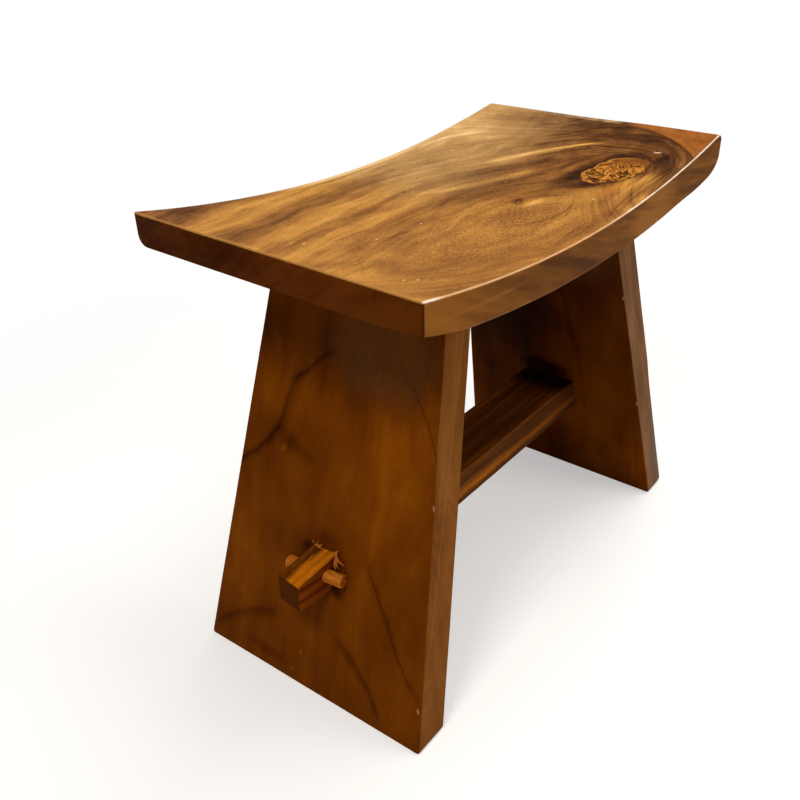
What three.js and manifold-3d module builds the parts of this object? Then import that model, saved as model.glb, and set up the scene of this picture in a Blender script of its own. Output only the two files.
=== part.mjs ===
// A low stool of solid hardwood: a seat board curved along its length, two leaning board legs and
// one stretcher, whose tenons pass through the legs and are held by round pegs.
//
// Millimetres. +Z is up, +X runs along the seat, and the front long side faces -Y. The origin is on
// the floor, under the middle of the seat.

import * as THREE from 'three';
import { mergeVertices } from 'three/addons/utils/BufferGeometryUtils.js';
import Module from 'manifold-3d';

const wasm = await Module();
wasm.setup();

// Clear space between two pieces that fit each other.
const GAP = 0.3;
// A cutting shape runs this far past what it cuts.
const PAST = 40;
// Points closer together than this are one point.
const WELD = 1e-4;

// Seat board.
const SEAT_LENGTH = 525;
const SEAT_WIDTH = 290;
const SEAT_HEIGHT = 450;
const SEAT_DIP = 25.5;
const SEAT_THICKNESS = 33.5;
// The underside has the same curve as the top, moved along, so the board thickens to the right.
const UNDER_SHIFT = 15;
// The board has dried a little in wind: two opposite corners stand up and two hang down.
const SEAT_WIND = 1.5;
// The right end is a full round that stands out past the top's edge.
const NOSE_REACH = 11;
const NOSE_DROP = 14;
const NOSE_LENGTH = 27;
// The left end is cut square, with a long low round under it.
const LEFT_ROUND_HEIGHT = 4.5;
const LEFT_ROUND_LENGTH = 16;
// Round on the lower back edge, and the corners in plan, one of them worn.
const BACK_ROUND = 9;
const WORN_CORNER = 8;
const CORNER = 2.5;
const ARC_STEPS = 44;
const ROUND_STEPS = 8;

// Legs. They lean out at the foot, and their boards taper towards the seat.
const LEG_FOOT_X = 264;
const LEG_TOP_X = 161.5;
const LEG_TOP_Z = 402;
const LEG_FOOT_WIDTH = 271;
const LEG_TOP_WIDTH = 186;
const LEG_THICKNESS = 35;
// Waney chamfer on the right leg's outer front edge: how high it goes, and how far it cuts into
// the front and into the outer face at the foot. Its cutter stands clear of the leg at its ends.
const WANE_HEIGHT = 190;
const WANE_WIDTH = 20;
const WANE_DEPTH = 3.5;
const WANE_PAST = 10;

// Stretcher and its tenons.
const STRETCHER_WIDTH = 67.5;
const STRETCHER_HEIGHT = 38.5;
const STRETCHER_Z = 130;
const TENON_WIDTH = 27;
const TENON_TIP_X = 274;
// The tenons are pared down towards the tip, more from above than from below.
const TIP_DROP = 7.5;
const TIP_RISE = 2.5;

// Pegs. The left one's ends give its slant; the right one mirrors it.
const PEG_DIAMETER = 13;
const PEG_CHAMFER = 1.5;
const PEG_BACK_END = new THREE.Vector3(-241, 32.5, 130.1);
const PEG_FRONT_END = new THREE.Vector3(-237, -31.2, 133.3);
const ROUND_SIDES = 32;

// Dowels in the joint of leg and seat.
const DOWEL_DIAMETER = 12;
const DOWEL_IN_SEAT = 20;
const DOWEL_IN_LEG = 40;
const DOWEL_SPACING = 62;
const DOWEL_PLACES = { front: -DOWEL_SPACING, middle: 0, back: DOWEL_SPACING };

const SIDES = { left: -1, right: 1 };

// Values that follow from the ones above.
const halfLength = SEAT_LENGTH / 2;
const halfWidth = SEAT_WIDTH / 2;
const lean = Math.atan2(LEG_FOOT_X - LEG_TOP_X, LEG_TOP_Z);
const legThicknessX = LEG_THICKNESS / Math.cos(lean);

const noseX = halfLength + NOSE_REACH;

// Radius of the arc that rises by the seat's dip over half its length.
const seatRadius = (halfLength * halfLength + SEAT_DIP * SEAT_DIP) / (2 * SEAT_DIP);

function arcRise(x) {
  return seatRadius - Math.sqrt(seatRadius * seatRadius - x * x);
}

function seatTopZ(x) {
  return SEAT_HEIGHT - SEAT_DIP + arcRise(x);
}

function seatUnderZ(x) {
  return SEAT_HEIGHT - SEAT_DIP - SEAT_THICKNESS + arcRise(x - UNDER_SHIFT);
}

// The x of a leg's outer face at a height, counted outwards from the middle.
function legOuterX(z) {
  return LEG_FOOT_X - z * Math.tan(lean);
}

function legInnerX(z) {
  return legOuterX(z) - legThicknessX;
}

function legHalfWidth(z) {
  return (LEG_FOOT_WIDTH - ((LEG_FOOT_WIDTH - LEG_TOP_WIDTH) * z) / LEG_TOP_Z) / 2;
}

// Turns a closed geometry into a solid that can be joined and cut.
function toSolid(geometry) {
  const bare = geometry.clone();
  bare.deleteAttribute('normal');
  bare.deleteAttribute('uv');
  const merged = mergeVertices(bare, WELD);
  const mesh = new wasm.Mesh({
    numProp: 3,
    vertProperties: new Float32Array(merged.attributes.position.array),
    triVerts: new Uint32Array(merged.index.array),
  });
  return new wasm.Manifold(mesh);
}

function toGeometry(solid) {
  const mesh = solid.getMesh();
  const geometry = new THREE.BufferGeometry();
  geometry.setAttribute('position', new THREE.BufferAttribute(mesh.vertProperties, 3));
  geometry.setIndex(new THREE.BufferAttribute(mesh.triVerts, 1));
  geometry.computeVertexNormals();
  return geometry;
}

// A flat outline with x to the right and z up, given depth along Y from low to high.
function slab(shape, low, high) {
  const geometry = new THREE.ExtrudeGeometry(shape, {
    depth: high - low,
    bevelEnabled: false,
    curveSegments: ROUND_STEPS,
  });
  geometry.rotateX(Math.PI / 2);
  geometry.translate(0, high, 0);
  return geometry;
}

function polygon(points) {
  return new THREE.Shape(points.map(([x, y]) => new THREE.Vector2(x, y)));
}

// Points along one of the seat's two arcs, from one x to another.
function arcPoints(height, from, to) {
  return Array.from({ length: ARC_STEPS + 1 }, (_, i) => {
    const x = from + ((to - from) * i) / ARC_STEPS;
    return [x, height(x)];
  });
}

// Raises and lowers the corners of a geometry by the board's wind.
function addWind(geometry) {
  const position = geometry.attributes.position;
  for (let i = 0; i < position.count; i += 1) {
    const alongBoard = position.getX(i) / halfLength;
    const acrossBoard = -position.getY(i) / halfWidth;
    position.setZ(i, position.getZ(i) + SEAT_WIND * alongBoard * acrossBoard);
  }
  return geometry;
}

// The seat's outline from the front: two arcs, a square left end and a round right end.
function seatProfile() {
  const shape = new THREE.Shape();
  const leftZ = seatUnderZ(-halfLength);
  shape.moveTo(-halfLength, leftZ + LEFT_ROUND_HEIGHT);
  arcPoints(seatTopZ, -halfLength, halfLength).forEach(([x, z]) => shape.lineTo(x, z));
  const noseZ = SEAT_HEIGHT - NOSE_DROP;
  const noseStart = noseX - NOSE_LENGTH;
  shape.quadraticCurveTo(noseX, SEAT_HEIGHT, noseX, noseZ);
  shape.quadraticCurveTo(noseX, seatUnderZ(noseX), noseStart, seatUnderZ(noseStart));
  const under = arcPoints(seatUnderZ, noseStart, LEFT_ROUND_LENGTH - halfLength).slice(1);
  under.forEach(([x, z]) => shape.lineTo(x, z));
  shape.quadraticCurveTo(-halfLength, leftZ, -halfLength, leftZ + LEFT_ROUND_HEIGHT);
  return shape;
}

// A band that follows the underside and has the round of the lower back edge.
function undersideBand() {
  const section = new THREE.Shape();
  const depth = SEAT_THICKNESS + PAST;
  // Swept along +X, the section's x runs towards -Y and its y runs down.
  section.moveTo(halfWidth, 0);
  section.lineTo(halfWidth, -depth);
  section.lineTo(-halfWidth, -depth);
  section.lineTo(-halfWidth, -BACK_ROUND);
  section.absarc(BACK_ROUND - halfWidth, -BACK_ROUND, BACK_ROUND, Math.PI, Math.PI / 2, true);
  const points = arcPoints(seatUnderZ, -halfLength - PAST, halfLength + PAST);
  const path = new THREE.CatmullRomCurve3(points.map(([x, z]) => new THREE.Vector3(x, 0, z)));
  return new THREE.ExtrudeGeometry(section, {
    steps: ARC_STEPS,
    curveSegments: ROUND_STEPS,
    extrudePath: path,
  });
}

// The seat seen from above, with one worn corner.
function seatPlan() {
  const shape = new THREE.Shape();
  const [left, right, y] = [-halfLength, noseX, halfWidth];
  shape.moveTo(left + CORNER, -y);
  shape.lineTo(right - CORNER, -y);
  shape.lineTo(right, -y + CORNER);
  shape.lineTo(right, y - WORN_CORNER);
  shape.absarc(right - WORN_CORNER, y - WORN_CORNER, WORN_CORNER, 0, Math.PI / 2, false);
  shape.lineTo(left + CORNER, y);
  shape.lineTo(left, y - CORNER);
  shape.lineTo(left, -y + CORNER);
  const low = seatUnderZ(0) - PAST;
  const geometry = new THREE.ExtrudeGeometry(shape, {
    depth: SEAT_HEIGHT + PAST - low,
    bevelEnabled: false,
    curveSegments: ROUND_STEPS,
  });
  geometry.translate(0, 0, low);
  return geometry;
}

// Everything above a surface that lies a gap below the seat's underside.
function aboveLegs() {
  const under = arcPoints(seatUnderZ, -halfLength, halfLength).map(([x, z]) => [x, z - GAP]);
  const high = SEAT_HEIGHT + PAST;
  const outline = polygon([...under, [halfLength, high], [-halfLength, high]]);
  return toSolid(addWind(slab(outline, -halfWidth, halfWidth)));
}

// Round rod between two points, its ends square or chamfered.
function rod(from, to, diameter, chamfer = 0) {
  const length = from.distanceTo(to);
  const radius = diameter / 2;
  const square = [[radius, 0], [radius, length]];
  const chamfered = [
    [radius - chamfer, 0],
    [radius, chamfer],
    [radius, length - chamfer],
    [radius - chamfer, length],
  ];
  const outline = [[0, 0], ...(chamfer > 0 ? chamfered : square), [0, length]];
  const profile = outline.map(([x, y]) => new THREE.Vector2(x, y));
  const geometry = new THREE.LatheGeometry(profile, ROUND_SIDES);
  const direction = to.clone().sub(from).normalize();
  const turn = new THREE.Quaternion().setFromUnitVectors(new THREE.Vector3(0, 1, 0), direction);
  geometry.applyQuaternion(turn);
  geometry.translate(from.x, from.y, from.z);
  return geometry;
}

// The hole for a rod: the same axis, a gap wider all round and at both ends.
function rodHole(from, to, diameter) {
  const direction = to.clone().sub(from).normalize();
  const start = from.clone().addScaledVector(direction, -GAP);
  const end = to.clone().addScaledVector(direction, GAP);
  return toSolid(rod(start, end, diameter + 2 * GAP));
}

// Both ends of a dowel, which lies in the middle of the leg's board and points along it.
function dowelEnds(side, y) {
  const middleX = (z) => side * (legOuterX(z) + legInnerX(z)) / 2;
  const jointZ = seatUnderZ(middleX(LEG_TOP_Z));
  const joint = new THREE.Vector3(middleX(jointZ), y, jointZ);
  const up = new THREE.Vector3(-side * Math.sin(lean), 0, Math.cos(lean));
  return [
    joint.clone().addScaledVector(up, -DOWEL_IN_LEG),
    joint.clone().addScaledVector(up, DOWEL_IN_SEAT),
  ];
}

function pegEnds(side) {
  const mirror = (point) => new THREE.Vector3(-side * point.x, point.y, point.z);
  return [mirror(PEG_BACK_END), mirror(PEG_FRONT_END)];
}

// The bar's outline from the front: shoulders against the legs and tenons that run through them.
const barLow = STRETCHER_Z - STRETCHER_HEIGHT / 2;
const barHigh = STRETCHER_Z + STRETCHER_HEIGHT / 2;

function stretcherSolid() {
  const low = legInnerX(barLow) - GAP;
  const high = legInnerX(barHigh) - GAP;
  const body = slab(polygon([[-low, barLow], [low, barLow], [high, barHigh], [-high, barHigh]]),
    -STRETCHER_WIDTH / 2, STRETCHER_WIDTH / 2);
  const faceLow = legOuterX(barLow);
  const faceHigh = legOuterX(barHigh);
  const rightHalf = [
    [faceLow, barLow],
    [TENON_TIP_X, barLow + TIP_RISE],
    [TENON_TIP_X, barHigh - TIP_DROP],
    [faceHigh, barHigh],
  ];
  const leftHalf = rightHalf.map(([x, z]) => [-x, z]).reverse();
  const tenons = slab(polygon([...rightHalf, ...leftHalf]), -TENON_WIDTH / 2, TENON_WIDTH / 2);
  let solid = toSolid(body).add(toSolid(tenons));
  Object.values(SIDES).forEach((side) => {
    solid = solid.subtract(rodHole(...pegEnds(side), PEG_DIAMETER));
  });
  return solid;
}

// A leg's board before it is cut to the floor and to the seat.
function legBoard(side) {
  const slope = Math.cos(lean);
  const halfAt = (along) => legHalfWidth(along * slope);
  const top = SEAT_HEIGHT / slope;
  const outline = polygon([
    [-halfAt(-PAST), -PAST],
    [halfAt(-PAST), -PAST],
    [halfAt(top), top],
    [-halfAt(top), top],
  ]);
  const geometry = new THREE.ExtrudeGeometry(outline, { depth: LEG_THICKNESS, bevelEnabled: false });
  // The outline stood in XY; it now stands in YZ, its thickness along X, outer face at x = 0.
  geometry.rotateX(Math.PI / 2);
  geometry.rotateZ(Math.PI / 2);
  geometry.translate(-LEG_THICKNESS, 0, 0);
  geometry.rotateY(-lean);
  geometry.translate(LEG_FOOT_X, 0, 0);
  if (side < 0) {
    geometry.rotateZ(Math.PI);
  }
  return toSolid(geometry);
}

// The mortise is a straight slot along X, a gap wider than the tenon all round.
function mortise() {
  const reach = LEG_FOOT_X + PAST;
  const [low, high] = [barLow - GAP, barHigh + GAP];
  const outline = polygon([[-reach, low], [reach, low], [reach, high], [-reach, high]]);
  return toSolid(slab(outline, -TENON_WIDTH / 2 - GAP, TENON_WIDTH / 2 + GAP));
}

// Wedge that takes off the waney edge: nothing at its top, and full width at the foot.
function wane() {
  const clear = (WANE_PAST * WANE_DEPTH) / WANE_WIDTH;
  const triangle = polygon([
    [-WANE_WIDTH - WANE_PAST, -clear],
    [WANE_PAST, -clear],
    [WANE_PAST, WANE_DEPTH + clear],
  ]);
  const geometry = new THREE.ExtrudeGeometry(triangle, {
    depth: WANE_HEIGHT + WANE_PAST,
    bevelEnabled: false,
  });
  geometry.translate(0, 0, -WANE_PAST);
  const position = geometry.attributes.position;
  for (let i = 0; i < position.count; i += 1) {
    const z = position.getZ(i);
    const shift = (WANE_WIDTH * z) / WANE_HEIGHT;
    position.setX(i, legOuterX(z) + position.getX(i) + shift);
    position.setY(i, -legHalfWidth(z) + position.getY(i));
  }
  return toSolid(geometry);
}

function block(low, high) {
  const size = high.clone().sub(low);
  const centre = low.clone().add(high).multiplyScalar(0.5);
  return toSolid(new THREE.BoxGeometry(size.x, size.y, size.z).translate(centre.x, centre.y, centre.z));
}

function legSolid(name) {
  const side = SIDES[name];
  const room = new THREE.Vector3(SEAT_LENGTH, SEAT_LENGTH, SEAT_HEIGHT + PAST);
  const aboveFloor = block(new THREE.Vector3(-room.x, -room.y, 0), room);
  let solid = legBoard(side).intersect(aboveFloor).subtract(aboveLegs()).subtract(mortise());
  Object.values(DOWEL_PLACES).forEach((y) => {
    solid = solid.subtract(rodHole(...dowelEnds(side, y), DOWEL_DIAMETER));
  });
  return name === 'right' ? solid.subtract(wane()) : solid;
}

function seatSolid() {
  const board = toSolid(addWind(slab(seatProfile(), -halfWidth, halfWidth)));
  const band = toSolid(addWind(undersideBand()));
  let solid = board.intersect(band).intersect(toSolid(seatPlan()));
  Object.values(SIDES).forEach((side) => {
    Object.values(DOWEL_PLACES).forEach((y) => {
      solid = solid.subtract(rodHole(...dowelEnds(side, y), DOWEL_DIAMETER));
    });
  });
  return solid;
}

// Finishes: oiled dark hardwood, plain pale dowels inside.
const finishes = {
  seatWood: { color: 0x8a5a2b, roughness: 0.35, metalness: 0 },
  legWood: { color: 0x5f330f, roughness: 0.4, metalness: 0 },
  barWood: { color: 0x6b3d14, roughness: 0.45, metalness: 0 },
  pegWood: { color: 0xa0662f, roughness: 0.6, metalness: 0 },
  dowelWood: { color: 0xc79a62, roughness: 0.7, metalness: 0 },
};

const stool = new THREE.Group();

function addPiece(name, geometry, finish) {
  const mesh = new THREE.Mesh(geometry, new THREE.MeshStandardMaterial(finishes[finish]));
  mesh.name = name;
  stool.add(mesh);
}

addPiece('seat', toGeometry(seatSolid()), 'seatWood');
addPiece('stretcher', toGeometry(stretcherSolid()), 'barWood');
Object.entries(SIDES).forEach(([name, side]) => {
  addPiece(`${name}_leg`, toGeometry(legSolid(name)), 'legWood');
  addPiece(`${name}_tenon_peg`, rod(...pegEnds(side), PEG_DIAMETER, PEG_CHAMFER), 'pegWood');
  Object.entries(DOWEL_PLACES).forEach(([place, y]) => {
    const ends = dowelEnds(side, y);
    addPiece(`${name}_leg_dowel_${place}`, rod(...ends, DOWEL_DIAMETER, PEG_CHAMFER), 'dowelWood');
  });
});

export default stool;
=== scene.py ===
# %% [markdown]
# # A low wooden stool
# The stool is a curved seat board on two leaning board legs. One stretcher joins the legs: its
# tenons pass through them and are held by round pegs. The packed frame already has every piece at
# its true size and place. This script makes the same pieces again with softened edges and a
# hand-worked surface, and gives them oiled wood with a flowing figure. All lengths are in metres.

# %% Load the frame
import math

import bmesh
import bpy
from mathutils import Matrix, Vector, noise


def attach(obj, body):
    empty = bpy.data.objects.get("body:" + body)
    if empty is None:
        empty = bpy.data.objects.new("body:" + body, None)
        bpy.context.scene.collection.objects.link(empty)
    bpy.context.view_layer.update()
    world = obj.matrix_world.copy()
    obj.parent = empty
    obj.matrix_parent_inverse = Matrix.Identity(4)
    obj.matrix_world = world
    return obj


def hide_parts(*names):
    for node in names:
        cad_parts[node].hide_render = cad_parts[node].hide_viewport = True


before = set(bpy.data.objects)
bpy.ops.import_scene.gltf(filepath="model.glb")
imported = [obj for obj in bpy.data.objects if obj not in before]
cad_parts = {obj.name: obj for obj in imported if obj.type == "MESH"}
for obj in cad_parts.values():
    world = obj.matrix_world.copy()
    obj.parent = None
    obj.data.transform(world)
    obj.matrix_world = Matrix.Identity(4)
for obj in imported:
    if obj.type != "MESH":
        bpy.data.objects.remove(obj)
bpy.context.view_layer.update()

BODY = "root"
print("nodes in the frame:", len(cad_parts))

# %% [markdown]
# ## Sizes
# These are the sizes that the frame was made with. The seat's top and underside are the same arc,
# moved along by a few millimetres, so that the board thickens towards its round end. A leg's outer
# face leans, so its place along X follows from the height.

# %% Sizes and the curves that follow from them
GAP = 0.0003
SEAT_HALF_LENGTH = 0.2625
SEAT_HALF_WIDTH = 0.145
SEAT_HEIGHT = 0.450
SEAT_DIP = 0.0255
SEAT_THICKNESS = 0.0335
UNDER_SHIFT = 0.015
SEAT_WIND = 0.0015
NOSE_REACH = 0.011
NOSE_DROP = 0.014
NOSE_LENGTH = 0.027
LEG_FOOT_X = 0.264
LEG_TOP_X = 0.1615
LEG_TOP_Z = 0.402
LEG_FOOT_WIDTH = 0.271
LEG_TOP_WIDTH = 0.186
LEG_THICKNESS = 0.035
BAR_WIDTH = 0.0675
BAR_LOW = 0.11075
BAR_HIGH = 0.14925
TENON_WIDTH = 0.027
TENON_TIP_X = 0.274
TIP_DROP = 0.0075
TIP_RISE = 0.0025
PEG_DIAMETER = 0.013
PEG_BACK_END = Vector((-0.241, 0.0325, 0.1301))
PEG_FRONT_END = Vector((-0.237, -0.0312, 0.1333))
DOWEL_DIAMETER = 0.012
DOWEL_IN_SEAT = 0.020
DOWEL_IN_LEG = 0.040
DOWEL_PLACES = {"front": -0.062, "middle": 0.0, "back": 0.062}
SIDES = {"left": -1, "right": 1}
MM_PER_M = 1000.0

NOSE_X = SEAT_HALF_LENGTH + NOSE_REACH
SEAT_RADIUS = (SEAT_HALF_LENGTH**2 + SEAT_DIP**2) / (2 * SEAT_DIP)
LEAN = math.atan2(LEG_FOOT_X - LEG_TOP_X, LEG_TOP_Z)
LEG_THICKNESS_X = LEG_THICKNESS / math.cos(LEAN)
LEG_NARROWING = (LEG_FOOT_WIDTH - LEG_TOP_WIDTH) / LEG_TOP_Z / 2


def arc_rise(x):
    return SEAT_RADIUS - math.sqrt(SEAT_RADIUS**2 - x * x)


def seat_arc_top(x):
    return SEAT_HEIGHT - SEAT_DIP + arc_rise(x)


def seat_arc_under(x):
    return SEAT_HEIGHT - SEAT_DIP - SEAT_THICKNESS + arc_rise(x - UNDER_SHIFT)


def seat_wind(x, y):
    return -SEAT_WIND * (x / SEAT_HALF_LENGTH) * (y / SEAT_HALF_WIDTH)


def leg_outer_x(z):
    return LEG_FOOT_X - z * math.tan(LEAN)


def leg_inner_x(z):
    return leg_outer_x(z) - LEG_THICKNESS_X


def leg_half_width(z):
    return LEG_FOOT_WIDTH / 2 - LEG_NARROWING * z


print(f"seat arc radius {SEAT_RADIUS:.3f} m, legs lean {math.degrees(LEAN):.1f} degrees")

# %% [markdown]
# ## Camera
# The photograph was taken from above the left end. The same frame, a square of 800 pixels, needs
# the same lens, the same direction and a small sideways shift, because the stool doesn't stand in
# the middle of the lens's own axis. The camera's place is built from its direction and its
# distance, so that each number has a meaning.

# %% Camera
IMAGE_SIZE = 800
SENSOR = 36.0
FOCAL_PIXELS = 901.5
AXIS_PIXEL_X = 463.9
AXIS_PIXEL_Y = 400.5
VIEW_AZIMUTH = math.radians(-55.8)
VIEW_ELEVATION = math.radians(30.3)
VIEW_ROLL = math.radians(0.7)
VIEW_DISTANCE = 0.9419
AIM = Vector((0.0, 0.0, 0.25))
SLIDE_RIGHT = -0.0010
SLIDE_UP = -0.0427


def view_axes(azimuth, elevation, roll):
    """The camera's right, up and back directions."""
    back = Vector((
        math.sin(azimuth) * math.cos(elevation),
        -math.cos(azimuth) * math.cos(elevation),
        math.sin(elevation),
    ))
    right = Vector((math.cos(azimuth), math.sin(azimuth), 0.0))
    up = back.cross(right)
    turned_right = right * math.cos(roll) + up * math.sin(roll)
    turned_up = up * math.cos(roll) - right * math.sin(roll)
    return turned_right, turned_up, back


def make_camera():
    right, up, back = view_axes(VIEW_AZIMUTH, VIEW_ELEVATION, VIEW_ROLL)
    place = AIM + right * SLIDE_RIGHT + up * SLIDE_UP + back * VIEW_DISTANCE
    data = bpy.data.cameras.new("camera")
    data.sensor_width = SENSOR
    data.lens = FOCAL_PIXELS * SENSOR / IMAGE_SIZE
    data.shift_x = (IMAGE_SIZE / 2 - AXIS_PIXEL_X) / IMAGE_SIZE
    data.shift_y = (AXIS_PIXEL_Y - IMAGE_SIZE / 2) / IMAGE_SIZE
    data.clip_start = 0.01
    camera = bpy.data.objects.new("camera", data)
    rotation = Matrix((right, up, back)).transposed().to_4x4()
    camera.matrix_world = Matrix.Translation(place) @ rotation
    bpy.context.scene.collection.objects.link(camera)
    bpy.context.scene.camera = camera
    return camera


camera = make_camera()
print("camera at", [round(value, 3) for value in camera.matrix_world.translation])

# %% [markdown]
# ## Floor
# The stool stands on a plain pale floor. It could be a few boards or tiles, but a plain one keeps
# the eye on the wood. It is a matt white square that catches the shadow. It has a little glow that
# only the camera sees, and further out it fades into pure white, so that no horizon shows.

# %% Floor
FLOOR_SIZE = 16.0
FLOOR_COLOR = (0.80, 0.80, 0.80, 1.0)
FLOOR_GLOW = 0.42
# The floor fades into white between these distances from its middle.
FLOOR_FADE = (0.35, 1.1)


def new_material(name):
    material = bpy.data.materials.new(name)
    material.use_nodes = True
    material.node_tree.nodes.clear()
    return material


def make_floor():
    mesh = bpy.data.meshes.new("floor")
    half = FLOOR_SIZE / 2
    corners = [(-half, -half, 0), (half, -half, 0), (half, half, 0), (-half, half, 0)]
    mesh.from_pydata(corners, [], [(0, 1, 2, 3)])
    floor = bpy.data.objects.new("floor", mesh)
    bpy.context.scene.collection.objects.link(floor)
    material = new_material("floor_white")
    nodes, links = material.node_tree.nodes, material.node_tree.links
    matt = nodes.new("ShaderNodeBsdfDiffuse")
    matt.inputs["Color"].default_value = FLOOR_COLOR
    glow = nodes.new("ShaderNodeEmission")
    glow.inputs["Strength"].default_value = FLOOR_GLOW
    near = nodes.new("ShaderNodeAddShader")
    links.new(matt.outputs[0], near.inputs[0])
    links.new(glow.outputs[0], near.inputs[1])
    far = nodes.new("ShaderNodeEmission")
    place = nodes.new("ShaderNodeTexCoord")
    length = nodes.new("ShaderNodeVectorMath")
    length.operation = "LENGTH"
    links.new(place.outputs["Object"], length.inputs[0])
    fade = nodes.new("ShaderNodeMapRange")
    fade.interpolation_type = "SMOOTHSTEP"
    fade.inputs["From Min"].default_value, fade.inputs["From Max"].default_value = FLOOR_FADE
    links.new(length.outputs["Value"], fade.inputs["Value"])
    seen = nodes.new("ShaderNodeMixShader")
    links.new(fade.outputs[0], seen.inputs[0])
    links.new(near.outputs[0], seen.inputs[1])
    links.new(far.outputs[0], seen.inputs[2])
    path = nodes.new("ShaderNodeLightPath")
    both = nodes.new("ShaderNodeMixShader")
    links.new(path.outputs["Is Camera Ray"], both.inputs[0])
    links.new(matt.outputs[0], both.inputs[1])
    links.new(seen.outputs[0], both.inputs[2])
    output = nodes.new("ShaderNodeOutputMaterial")
    links.new(both.outputs[0], output.inputs["Surface"])
    mesh.materials.append(material)


make_floor()
print("the floor's side:", FLOOR_SIZE, "m")

# %% [markdown]
# ## Light
# The room is bright, with soft light from above. A picture of a room could light the stool, but
# three area lamps and a dim world come close to it, and each can be set by itself. A large lamp
# hangs over the right half and gives the satin sheen on the far end of the seat, a small one lights
# the left end, and one fills the front. The world fills the shadows, and the camera sees it as white.

# %% World and lamps
WORLD_STRENGTH = 0.24
WORLD_COLOR = (1.0, 0.95, 0.88, 1.0)
WHITE = (1.0, 1.0, 1.0, 1.0)
LAMP_COLOR = WORLD_COLOR[:3]
LAMPS = {
    "lamp_over": {
        "at": (0.6, -0.1, 1.9), "aim": (0.0, 0.0, 0.3), "size": (1.4, 1.2), "power": 19,
    },
    "lamp_left": {
        "at": (-1.05, -0.2, 1.6), "aim": (-0.2, 0.0, 0.25), "size": (0.45, 0.45), "power": 10,
    },
    "lamp_front": {
        "at": (0.7, -1.9, 1.1), "aim": (0.0, 0.0, 0.3), "size": (1.0, 1.0), "power": 13,
    },
}


def make_world():
    world = bpy.data.worlds.new("room")
    world.use_nodes = True
    nodes, links = world.node_tree.nodes, world.node_tree.links
    nodes.clear()
    room = nodes.new("ShaderNodeBackground")
    room.inputs["Color"].default_value = WORLD_COLOR
    room.inputs["Strength"].default_value = WORLD_STRENGTH
    white = nodes.new("ShaderNodeBackground")
    white.inputs["Color"].default_value = WHITE
    path = nodes.new("ShaderNodeLightPath")
    both = nodes.new("ShaderNodeMixShader")
    output = nodes.new("ShaderNodeOutputWorld")
    links.new(path.outputs["Is Camera Ray"], both.inputs[0])
    links.new(room.outputs[0], both.inputs[1])
    links.new(white.outputs[0], both.inputs[2])
    links.new(both.outputs[0], output.inputs["Surface"])
    bpy.context.scene.world = world


def make_lamp(name, at, aim, size, power):
    data = bpy.data.lights.new(name, "AREA")
    data.shape = "RECTANGLE"
    data.size, data.size_y = size
    data.energy = power
    data.color = LAMP_COLOR
    lamp = bpy.data.objects.new(name, data)
    direction = Vector(aim) - Vector(at)
    lamp.location = at
    lamp.rotation_euler = direction.to_track_quat("-Z", "Y").to_euler()
    bpy.context.scene.collection.objects.link(lamp)


make_world()
for lamp_name, settings in LAMPS.items():
    make_lamp(lamp_name, **settings)
bpy.context.scene.view_settings.view_transform = "Standard"
print("lamps:", ", ".join(LAMPS))

# %% [markdown]
# ## Tools for the meshes
# Each wooden piece is a board or a bar. One way to make it is a cube with bevels, but then every
# edge is the same. Here each piece is drawn as a row of rings, as a boat is built from its ribs:
# a ring is a rectangle with its own round at each corner, and faces join each ring to the next.
# So an edge can be sharp at one end and worn at the other.

# %% Rings
ROUND_STEPS = 4
LARGEST_HOLD = 0.0012


def split(low, high, count):
    """Evenly spaced places from low to high, both included."""
    return [low + (high - low) * i / count for i in range(count + 1)]


def split_held(low, high, count):
    """The same, with one more place close to each end, which keeps the rounds beside it tight."""
    hold = min(LARGEST_HOLD, (high - low) / (count * 3))
    places = split(low, high, count)
    return [low, low + hold] + places[1:-1] + [high - hold, high]


def round_off(distance, radius, depth=None):
    """How far a rounded end draws in at a distance from its tip."""
    depth = radius if depth is None else depth
    if distance >= radius:
        return 0.0
    return depth * (1 - math.sqrt(1 - (1 - distance / radius) ** 2))


def soft_step(share):
    """0 up to share 0, 1 from share 1 on, with soft ends between."""
    share = min(1.0, max(0.0, share))
    return share * share * (3 - 2 * share)


def corner_points(centre, radius_u, radius_v, start):
    """Points between the two ends of a quarter round."""
    points = []
    for step in range(1, ROUND_STEPS):
        angle = start + step / ROUND_STEPS * math.pi / 2
        points.append(centre + Vector((radius_u * math.cos(angle), radius_v * math.sin(angle))))
    return points


def ring(u_range, v_range, radii, u_places, v_places, long_radius=None):
    """A rectangle with four rounds, as points (u, v), starting along the low v side.

    radii go round the corners: low u low v, high u low v, high u high v, low u high v.
    u_places and v_places give the points of a side between its two rounds. long_radius, if there
    is one, draws the second corner's round out along u.
    """
    u0, u1 = u_range
    v0, v1 = v_range
    r00, r10, r11, r01 = radii
    long = r10 if long_radius is None else long_radius
    quarter = math.pi / 2
    points = [Vector((u, v0)) for u in u_places(u0 + r00, u1 - long)]
    points += corner_points(Vector((u1 - long, v0 + r10)), long, r10, -quarter)
    points += [Vector((u1, v)) for v in v_places(v0 + r10, v1 - r11)]
    points += corner_points(Vector((u1 - r11, v1 - r11)), r11, r11, 0.0)
    points += [Vector((u, v1)) for u in reversed(u_places(u0 + r01, u1 - r11))]
    points += corner_points(Vector((u0 + r01, v1 - r01)), r01, r01, quarter)
    points += [Vector((u0, v)) for v in reversed(v_places(v0 + r00, v1 - r01))]
    points += corner_points(Vector((u0 + r00, v0 + r00)), r00, r00, 2 * quarter)
    return points


def in_halves(low, high):
    return split(low, high, 2)


sample_ring = ring((0, 1), (0, 1), (0.1, 0.1, 0.1, 0.1), in_halves, in_halves)
print("points in a small ring:", len(sample_ring))

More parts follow.
